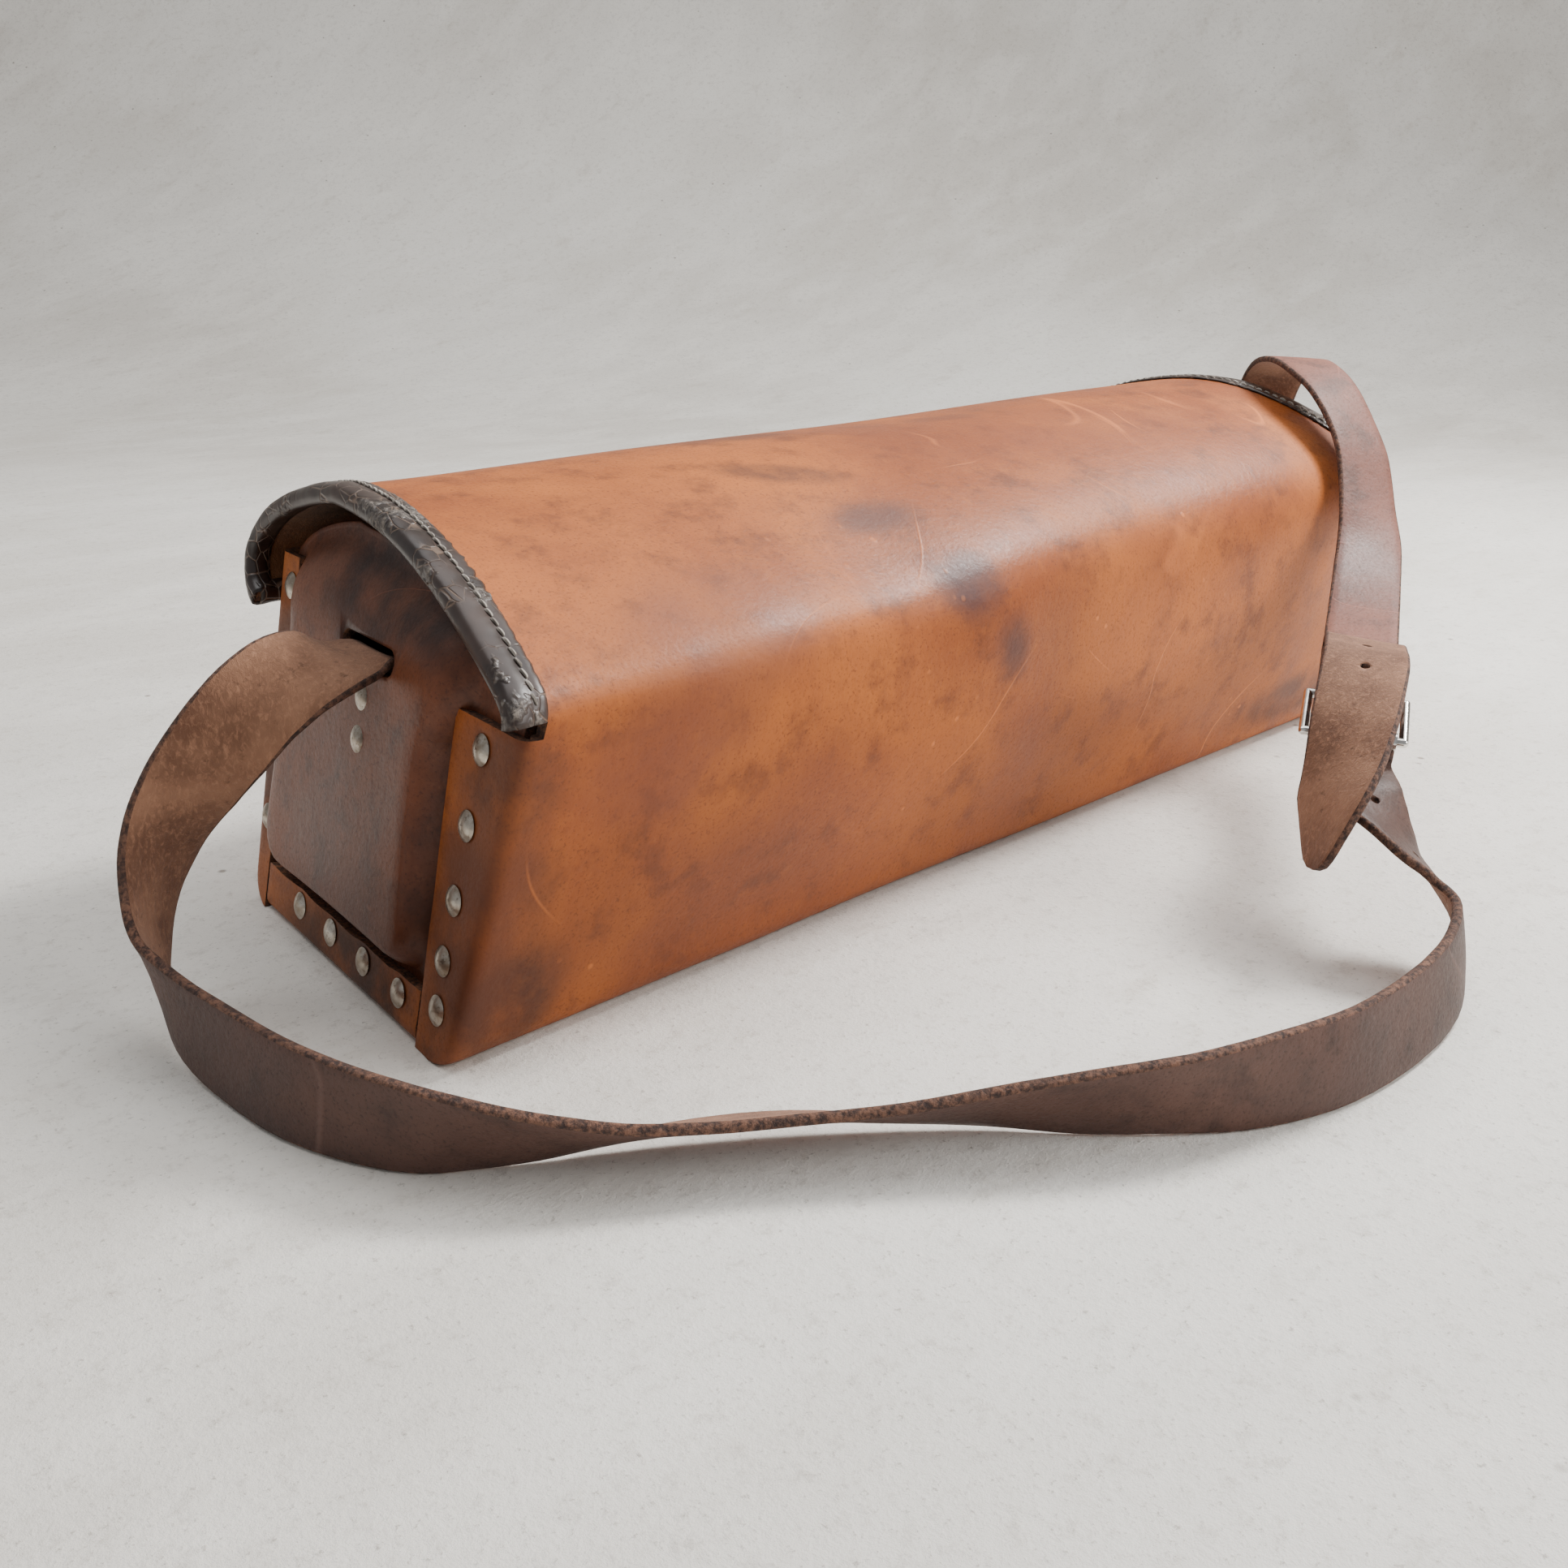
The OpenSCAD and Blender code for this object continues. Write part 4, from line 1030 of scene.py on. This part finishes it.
def build_panel(side, word):
    """One dished end panel, as spokes from its middle to its rim."""
    turns = [2 * math.pi * k / PANEL_SPOKES for k in range(PANEL_SPOKES)]
    spokes = []
    for turn in turns:
        rim = rounded_radius(under_lid(rim_outline, side), turn, 0.03)
        foot = rounded_radius(under_lid(bulge_outline, side), turn, 0.07)
        # The top of the bulge fades out gently under the lid, and its other edges are crisp.
        gentle = ease((PANEL_CENTRE.y + foot * math.sin(turn) - 92 * MM) / (46 * MM))
        foot = min(mix(foot, rim - 4 * MM, gentle), rim - 4 * MM)
        width = (1 + 2.8 * gentle) * MM
        spoke = [(share * (foot - 10 * width), PANEL_BULGE) for share in PANEL_SHARES]
        spoke += [(foot - inset * width, height * MM) for inset, height in PANEL_SLOPE]
        spoke += [(mix(foot, rim, 0.5), -LEATHER), (rim, -LEATHER)]
        spokes.append(spoke)
    points = [end_point(side, PANEL_CENTRE.x, PANEL_CENTRE.y, PANEL_BULGE + 0.3 * MM)]
    for ring in zip(*spokes):
        for turn, (radius, height) in zip(turns, ring):
            y = PANEL_CENTRE.x + radius * math.cos(turn)
            z = PANEL_CENTRE.y + radius * math.sin(turn)
            if height > 0:
                height += 0.9 * MM * panel_waves(Vector((side, y, z)))
            points.append(end_point(side, y, z, height))
    faces = [(0, 1 + k, 1 + (k + 1) % PANEL_SPOKES) for k in range(PANEL_SPOKES)]
    for r in range(len(spokes[0]) - 1):
        faces += [face[:1] + face[:0:-1] for face in ring_faces(1 + r * PANEL_SPOKES, PANEL_SPOKES)]
    piece = new_piece("end_panel_sheet_" + word, points, faces, [panel_leather, tan_suede, raw_edge])
    if piece.data.polygons[0].normal.x * side < 0:
        piece.data.flip_normals()
    thicken(piece, LEATHER, edge_round=0.5 * MM)
    cut(piece, slot_cutter(side))
    shade_smooth(piece)
    return piece


SLOT_FROM = SLOT_MIDDLE - 21 * MM
SLOT_TO = SLOT_MIDDLE + 21 * MM
SLOT_LOW = 110 * MM
SLOT_HIGH = 119 * MM


def slot_cutter(side):
    """A bar with round ends, through the panel where the strap leaves it."""
    radius = (SLOT_HIGH - SLOT_LOW) / 2
    level = (SLOT_HIGH + SLOT_LOW) / 2
    outline = arc_points(SLOT_TO - radius, level, radius, -90, 90, 8)
    outline += arc_points(SLOT_FROM + radius, level, radius, 90, 270, 8)
    near, far = ([end_point(side, y, z, w) for y, z in outline] for w in (-6 * MM, 16 * MM))
    return prism_cutter(near, far, raw_edge)


for side, word in ((-1, "left"), (1, "right")):
    panel = build_panel(side, word)
    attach(panel, "bag")
    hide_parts("end_panel_" + word)


# ---- binding and its stitches ----

def lid_path(side, step):
    """Evenly spaced (y, z, outward y, outward z) over the lid at one end, from the flex line to the lip."""
    rows = [(y, z, -ny, -nz) for y, z, ny, nz in outward_of(lid_edges[side])]
    runs = runs_along(rows)
    count = round(runs[-1] / step)
    path = []
    i = 0
    for k in range(count + 1):
        run = runs[-1] * k / count
        while i < len(rows) - 2 and runs[i + 1] < run:
            i += 1
        t = (run - runs[i]) / (runs[i + 1] - runs[i])
        path.append(tuple(mix(a, b, t) for a, b in zip(rows[i], rows[i + 1])))
    return path


# The binding's section: out past the sheet's edge, and above the sheet's outer face, in millimetres.
BINDING_SECTION = (
    (-11.2, 0.05), (-11.5, 0.8), (-10.4, 1.3), (-8.6, 1.45), (-7.3, 0.95), (-6.0, 1.5), (-3.6, 1.85),
    (-1.0, 1.7), (0.8, 0.9), (1.5, -0.6), (1.55, -2.2), (1.4, -3.8), (0.4, -5.2), (-1.6, -5.6),
    (-4.5, -5.5), (-6.6, -5.2), (-6.8, -4.05), (-0.1, -4.02), (0.03, -2.0), (0.02, 0.03),
)
STITCH_OUT = -7.3 * MM
STITCH_ABOVE = 1.15 * MM
crackle = waves(31, 14, 0.004, 0.03)


def closed_sweep(name, rings, materials):
    """A closed piece from rings of points, with flat ends."""
    size = len(rings[0])
    points = [point for ring in rings for point in ring]
    faces = [tuple(range(size)), tuple(range(len(points) - 1, len(points) - size - 1, -1))]
    for r in range(len(rings) - 1):
        faces += ring_faces(r * size, size)
    piece = new_piece(name, points, faces, materials)
    weld(piece, 0.001 * MM)
    return piece


ragged = waves(37, 12, 0.003, 0.02)


def torn_at(side, y):
    """How badly the binding is torn at a place along it: worst on the left end's back slope."""
    return math.exp(-((y + 48 * MM) / (16 * MM)) ** 2) if side < 0 else 0.2


def binding_ring(side, row):
    y, z, ny, nz = row
    ring = []
    torn = torn_at(side, y)
    for out, above in BINDING_SECTION:
        if out < -10:
            out += 1.1 * ragged(Vector((side, y * 3, z * 3))) * (0.6 + 1.5 * torn)
        py = y + ny * above * MM
        pz = z + nz * above * MM
        point = Vector((wall_x(side, py, pz, OVERHANG + out * MM), py, pz))
        if above > 0.5 or out > 1 or above < -5:
            swell = (0.4 + 0.8 * torn) * MM * crackle(point)
            point += Vector((side * swell * (out > 0), ny * swell, nz * swell))
        ring.append(point)
    return ring


# A stitch's rings: share of its length, girth and lift.
STITCH_ARCH = ((0, 0.5, -0.5), (0.18, 0.95, 0.35), (0.5, 1, 0.6), (0.82, 0.95, 0.35), (1, 0.5, -0.5))


def stitch(a, b, normal, radius=0.62 * MM):
    """Points and faces of one stitch from a to b, arched a little along normal."""
    along = (b - a).normalized()
    side = along.cross(normal).normalized()
    points = []
    for t, swell, lift in STITCH_ARCH:
        centre = a.lerp(b, t) + normal * lift * radius
        for k in range(6):
            turn = math.pi * k / 3
            points.append(centre + (side * math.cos(turn) + normal * math.sin(turn)) * radius * swell)
    faces = [tuple(range(5, -1, -1)), tuple(range(24, 30))]
    for ring in range(4):
        faces += ring_faces(ring * 6, 6)
    return points, faces


def join_stitches(name, stitches):
    points = []
    faces = []
    for new_points, new_faces in stitches:
        faces += [tuple(index + len(points) for index in face) for face in new_faces]
        points += new_points
    return new_piece(name, points, faces, [thread])


def flex_with_lid(piece):
    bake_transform(piece)


STITCH_PITCH = 4.6 * MM
for side, word in ((-1, "left"), (1, "right")):
    rings = [binding_ring(side, row) for row in lid_path(side, 1.6 * MM)]
    strip = closed_sweep("binding_strip_" + word, rings, [binding_leather])
    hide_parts("binding_" + word)
    flex_with_lid(strip)
    stitches = []
    path = lid_path(side, STITCH_PITCH)
    for row, next_row in zip(path[1:-1], path[2:]):
        ends = []
        for share in (0.06, 0.94):
            y, z, ny, nz = (mix(a, b, share) for a, b in zip(row, next_row))
            py = y + ny * STITCH_ABOVE
            pz = z + nz * STITCH_ABOVE
            out = STITCH_OUT + (share - 0.5) * 1.3 * MM
            ends.append(Vector((wall_x(side, py, pz, OVERHANG + out), py, pz)))
        stitches.append(stitch(ends[0], ends[1], Vector((0, ny, nz))))
    seam = join_stitches("binding_stitches_" + word, stitches)
    flex_with_lid(seam)


def lip_point(x, out, above):
    """A point on or beyond the lid's curled lip: out past its edge and above its outer face."""
    turn = math.radians(-LIP_ANGLE) + max(-out, 0) / LIP_RADIUS
    radius = LIP_RADIUS + above
    y = DOME_HALF - LIP_RADIUS + radius * math.cos(turn)
    z = WIDEST_HEIGHT + radius * math.sin(turn)
    beyond = max(out, 0)
    return Vector((x, y + beyond * math.sin(turn), z - beyond * math.cos(turn)))


def lip_x(side):
    return wall_x(side, DOME_HALF - 8 * MM, 115 * MM, OVERHANG - 1 * MM)


rings = []
LIP_RINGS = 260
for i in range(LIP_RINGS + 1):
    x = mix(lip_x(-1), lip_x(1), i / LIP_RINGS)
    ring = []
    for out, above in BINDING_SECTION:
        point = lip_point(x, out * MM, above * MM)
        ring.append(point + Vector((0, 0.3 * MM, -0.3 * MM)) * crackle(point) * (above > 0.5))
    rings.append(ring)
front_strip = closed_sweep("binding_strip_front", rings, [binding_leather])
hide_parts("binding_front")
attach(front_strip, "lid")
stitches = []
for i in range(2, round((lip_x(1) - lip_x(-1)) / STITCH_PITCH) - 2):
    x = lip_x(-1) + i * STITCH_PITCH
    start = lip_point(x, STITCH_OUT, STITCH_ABOVE)
    end = lip_point(x + STITCH_PITCH * 0.86, STITCH_OUT, STITCH_ABOVE)
    normal = (start - lip_point(x, STITCH_OUT, 0)).normalized()
    stitches.append(stitch(start, end, normal))
front_seam = join_stitches("binding_stitches_front", stitches)
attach(front_seam, "lid")


# ---- shoulder strap ----

strap_waves = waves(41, 10, 0.01, 0.06)


def strap_section(width, thickness):
    """Rounded section as (across, above, face slot): slot 0 is the grain, 1 the flesh side, 2 the edges."""
    half = width / 2
    rise = thickness / 2
    round_off = 1.0 * MM
    section = []
    for sign, slot in ((1, 0), (-1, 1)):
        for k in range(9):
            across = mix(-(half - round_off), half - round_off, k / 8)
            section.append((sign * across, sign * rise, slot if k < 8 else 2))
        corner = ((half - 0.3 * MM, rise - 0.35 * MM), (half, rise - round_off))
        section += [(sign * across, sign * above, 2) for across, above in corner]
        section += [(sign * across, -sign * above, 2) for across, above in reversed(corner)]
    return section


def build_strap(name, stations, width, thickness, materials, tip=0.0):
    """A flat strap with rounded, slightly wavy edges; its far end comes to a point over the length tip."""
    section = strap_section(width, thickness)
    size = len(section)
    points = []
    last_run = stations[-1][3]
    for place, across, normal, run in stations:
        narrow = 1.0
        if tip:
            narrow = 0.12 + 0.88 * math.sqrt(min(1, (last_run - run) / tip))
        for w, n, slot in section:
            wave = 0.35 * MM * strap_waves(place * 1.3 + across * w)
            spread = (w + math.copysign(wave, w) * (abs(w) > width * 0.4)) * narrow
            cup = 0.35 * MM * (1 - (2 * w / width) ** 2) + 0.25 * MM * strap_waves(place * 0.8 + across * w)
            free = ease(run / (60 * MM))
            points.append(place + across * spread + normal * (n + cup * free))
    faces = [tuple(range(size - 1, -1, -1)), tuple(range(len(points) - size, len(points)))]
    for r in range(len(stations) - 1):
        faces += ring_faces(r * size, size)
    slots = [2, 2] + [slot for w, n, slot in section] * (len(stations) - 1)
    piece = new_piece(name, points, faces, materials, slots)
    with editing(piece) as work:
        bmesh.ops.recalc_face_normals(work, faces=work.faces)
    return piece


def round_cutter(centre, across, normal, radius, depth):
    """A cylinder along normal, for a punched hole."""
    along = across.cross(normal).normalized()
    turns = [math.pi * k / 8 for k in range(16)]
    ring = [centre + (across * math.cos(turn) + along * math.sin(turn)) * radius for turn in turns]
    near, far = ([point + normal * end for point in ring] for end in (-depth, depth))
    return prism_cutter(near, far, strap_edge)


def box_cutter(centre, along, across, normal, sizes):
    """A block for a long slot, its sizes along, across and normal to the strap."""
    corners = [centre + along * i * sizes[0] / 2 + across * j * sizes[1] / 2
               for i, j in ((-1, -1), (-1, 1), (1, 1), (1, -1))]
    near, far = ([corner + normal * k * sizes[2] / 2 for corner in corners] for k in (-1, 1))
    return prism_cutter(near, far, strap_edge)


def open_end(piece, place):
    """Takes away the end face at a place where two parts of a strap meet."""
    with editing(piece) as work:
        flats = [face for face in work.faces if len(face.verts) > 20]
        caps = [face for face in flats if (face.calc_center_median() - place).length < 4 * MM]
        bmesh.ops.delete(work, geom=caps, context="FACES")


def station_near(stations, point):
    return min(range(len(stations)), key=lambda i: (stations[i][0] - point).length)


PRONG_TILT = math.radians(12)
HOLE_PITCH = 27 * MM
long_stations = strap_stations(LONG_ROUTE, 4)
long_strap = build_strap("shoulder_strap_long", long_stations, STRAP_WIDTH, STRAP_THICKNESS,
                         [strap_grain, strap_suede, strap_edge], tip=26 * MM)
prong_hole = station_near(long_stations, buckle_point(-10, 0, 2.2))
hole_run = long_stations[prong_hole][3]
for k in (-3, -2, -1, 1, 2, 3, 4):
    index = min(range(len(long_stations)), key=lambda i: abs(long_stations[i][3] - hole_run - k * HOLE_PITCH))
    place, across, normal, run = long_stations[index]
    if abs(run - hole_run - k * HOLE_PITCH) < 4 * MM:
        cut(long_strap, round_cutter(place, across, normal, 1.9 * MM, 2.6 * MM))
tilted_along = BUCKLE_ALONG * math.cos(PRONG_TILT) - BUCKLE_UP * math.sin(PRONG_TILT)
tilted_up = BUCKLE_UP * math.cos(PRONG_TILT) + BUCKLE_ALONG * math.sin(PRONG_TILT)
cut(long_strap, box_cutter(buckle_point(-10.3, 0, 2.2), tilted_along, BUCKLE_ACROSS, tilted_up,
                           (17 * MM, 4.8 * MM, 16 * MM)))
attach(long_strap, "bag")
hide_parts("strap_long")

short_stations = strap_stations(SHORT_ROUTE, 4)
split = station_near(short_stations, mm_point(229, -94, 161))
buckle_part = short_stations[:split + 1]
slot_part = short_stations[split:]
short_lower = build_strap("shoulder_strap_short_lower", buckle_part, SHORT_WIDTH, SHORT_THICKNESS,
                          [short_grain, strap_suede, strap_edge])
short_upper = build_strap("shoulder_strap_short_upper", slot_part, SHORT_WIDTH, SHORT_THICKNESS,
                          [short_grain, strap_suede, strap_edge])
cut(short_lower, box_cutter(buckle_point(-1, 0, 0), BUCKLE_ALONG, BUCKLE_ACROSS, BUCKLE_UP,
                            (14 * MM, 7 * MM, 13 * MM)))
open_end(short_lower, short_stations[split][0])
open_end(short_upper, short_stations[split][0])
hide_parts("strap_short")
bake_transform(short_lower)
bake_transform(short_upper)


# ---- closure tabs ----

TAB_THICKNESS = 2.6 * MM
TAB_GAP = 0.3 * MM
TAB_PLACE = DOME_HALF + 1.9 * MM
TAB_WIDTH = 30 * MM
TAB_LENGTH = 52 * MM
FLEX_HEIGHT = 126 * MM
EYELET_HEIGHT = FLEX_HEIGHT - 43.4 * MM


def tab_path():
    """Places (y, z) down the tab's outer face, from its riveted root to its free end."""
    out = TAB_GAP + TAB_THICKNESS
    places = []
    for i in range(16):
        turn = math.radians(36 - 2 * i)
        rise = (DOME_RISE + out) * math.sin(turn)
        places.append(((DOME_HALF + out) * math.cos(turn), WIDEST_HEIGHT + rise))
    outer = TAB_PLACE + TAB_THICKNESS
    places += line_points((outer, FLEX_HEIGHT + 1.3 * MM), (outer, FLEX_HEIGHT - TAB_LENGTH), 1.6 * MM)
    return places


def build_tab(word, x):
    path = tab_path()
    runs = runs_along(path)
    rows = []
    for (y, z), run in zip(path, runs):
        ends = min(run, runs[-1] - run)
        corner = 11 * MM
        inset = corner - math.sqrt(max(corner ** 2 - (corner - min(ends, corner)) ** 2, 0))
        half = TAB_WIDTH / 2 - inset
        rows.append([Vector((x + half * (k / 6 - 1), y, z)) for k in range(13)])
    sheet = Sheet()
    sheet.grid(rows)
    piece = new_piece("tab_leather_" + word, sheet.points, sheet.faces, [tab_leather, tan_suede, raw_edge])
    if sum(face.normal.y for face in piece.data.polygons) < 0:
        piece.data.flip_normals()
    thicken(piece, TAB_THICKNESS, edge_round=0.5 * MM)
    cut(piece, oval_cutter(x, 20 * MM, 12 * MM))
    shade_smooth(piece)
    return piece


def oval_cutter(x, width, height):
    """An upright oval bar through a tab, where its eyelet sits."""
    radius = height / 2
    reach = width / 2 - radius
    outline = arc_points(x + reach, EYELET_HEIGHT, radius, -90, 90, 10)
    outline += arc_points(x - reach, EYELET_HEIGHT, radius, 90, 270, 10)
    near = [Vector((px, TAB_PLACE - 3 * MM, pz)) for px, pz in outline]
    far = [Vector((px, TAB_PLACE + 6 * MM, pz)) for px, pz in outline]
    return prism_cutter(near, far, raw_edge)


for word, x in (("left", -LOCK_X), ("right", LOCK_X)):
    tab = build_tab(word, x)
    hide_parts("tab_root_" + word, "closure_tab_" + word)
    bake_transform(tab)


# ---- floor, backdrop and light ----

def concrete_material():
    n = Nodes("pale_concrete", roughness=0.8)
    turned = n.stretched((1, 2.2, 1), (0, 0, -0.35))
    streaks = n.noise(7, 5, 0.62, turned, 0.3)
    grit = n.noise(420, 4, 0.75)
    sand = n.noise(120, 5, 0.8)
    colour = n.blend(n.ramp(n.noise(1.6, 3, 0.5), 0.35, 0.65), srgb(214, 208, 199), srgb(229, 225, 218))
    colour = n.blend(n.ramp(streaks, 0.38, 0.68, 0, 0.5), colour, srgb(240, 236, 229))
    colour = n.blend(n.ramp(n.noise(15, 4, 0.7, turned), 0.55, 0.75, 0, 0.35), colour, srgb(190, 180, 168))
    colour = n.blend(n.ramp(sand, 0.5, 0.72, 0, 0.4), colour, srgb(162, 152, 141))
    colour = n.blend(n.ramp(grit, 0.57, 0.7, 0, 0.55), colour, srgb(134, 124, 114))
    pits = n.ramp(n.cells(38), 0.03, 0.09, 1, 0)
    pits = n.product(pits, n.ramp(n.noise(6, 2), 0.5, 0.62, 0, 0.75))
    colour = n.blend(pits, colour, srgb(120, 108, 96))
    relief = n.bump(streaks, 0.3, 0.003)
    relief = n.bump(sand, 0.5, 0.0012, relief)
    return n.finish(colour, None, n.bump(grit, 0.5, 0.0008, relief))


def make_floor():
    """The floor, which curves up into a backdrop behind the bag."""
    profile = [(-3.0, 0.0), (1.2, 0.0)]
    for k in range(1, 13):
        turn = math.pi * k / 24
        profile.append((1.2 + 1.4 * math.sin(turn), 1.4 - 1.4 * math.cos(turn)))
    profile.append((2.6, 4.0))
    turn = Matrix.Rotation(-math.radians(CAMERA_YAW), 3, "Z")
    sheet = Sheet()
    sheet.grid([[turn @ Vector((x, y, z)) for x in (-5, 5)] for y, z in profile])
    floor = new_piece("floor", sheet.points, sheet.faces, [concrete_material()])


def area_light(name, place, target, size, power, colour=(1, 1, 1)):
    light = bpy.data.lights.new(name, "AREA")
    light.shape = "RECTANGLE"
    light.size, light.size_y = size
    light.energy = power
    light.color = colour
    holder = bpy.data.objects.new(name, light)
    holder.location = place
    holder.rotation_euler = (Vector(target) - Vector(place)).to_track_quat("-Z", "Y").to_euler()
    bpy.context.scene.collection.objects.link(holder)


make_floor()
area_light("window", (0.92, -0.3, 1.22), (-0.1, -0.08, 0.08), (0.36, 0.45), 34, (1.0, 0.99, 0.97))
area_light("wall_side", (0.75, -1.7, 1.0), (0, 0, 0.08), (1.3, 1.0), 30, (1.0, 0.985, 0.96))
area_light("overhead", (0.2, 0.4, 1.9), (0, 0, 0.0), (2.4, 1.6), 30)
world = bpy.data.worlds.new("studio")
world.use_nodes = True
world.node_tree.nodes["Background"].inputs["Color"].default_value = (0.95, 0.97, 1.0, 1)
world.node_tree.nodes["Background"].inputs["Strength"].default_value = 0.42
bpy.context.scene.world = world
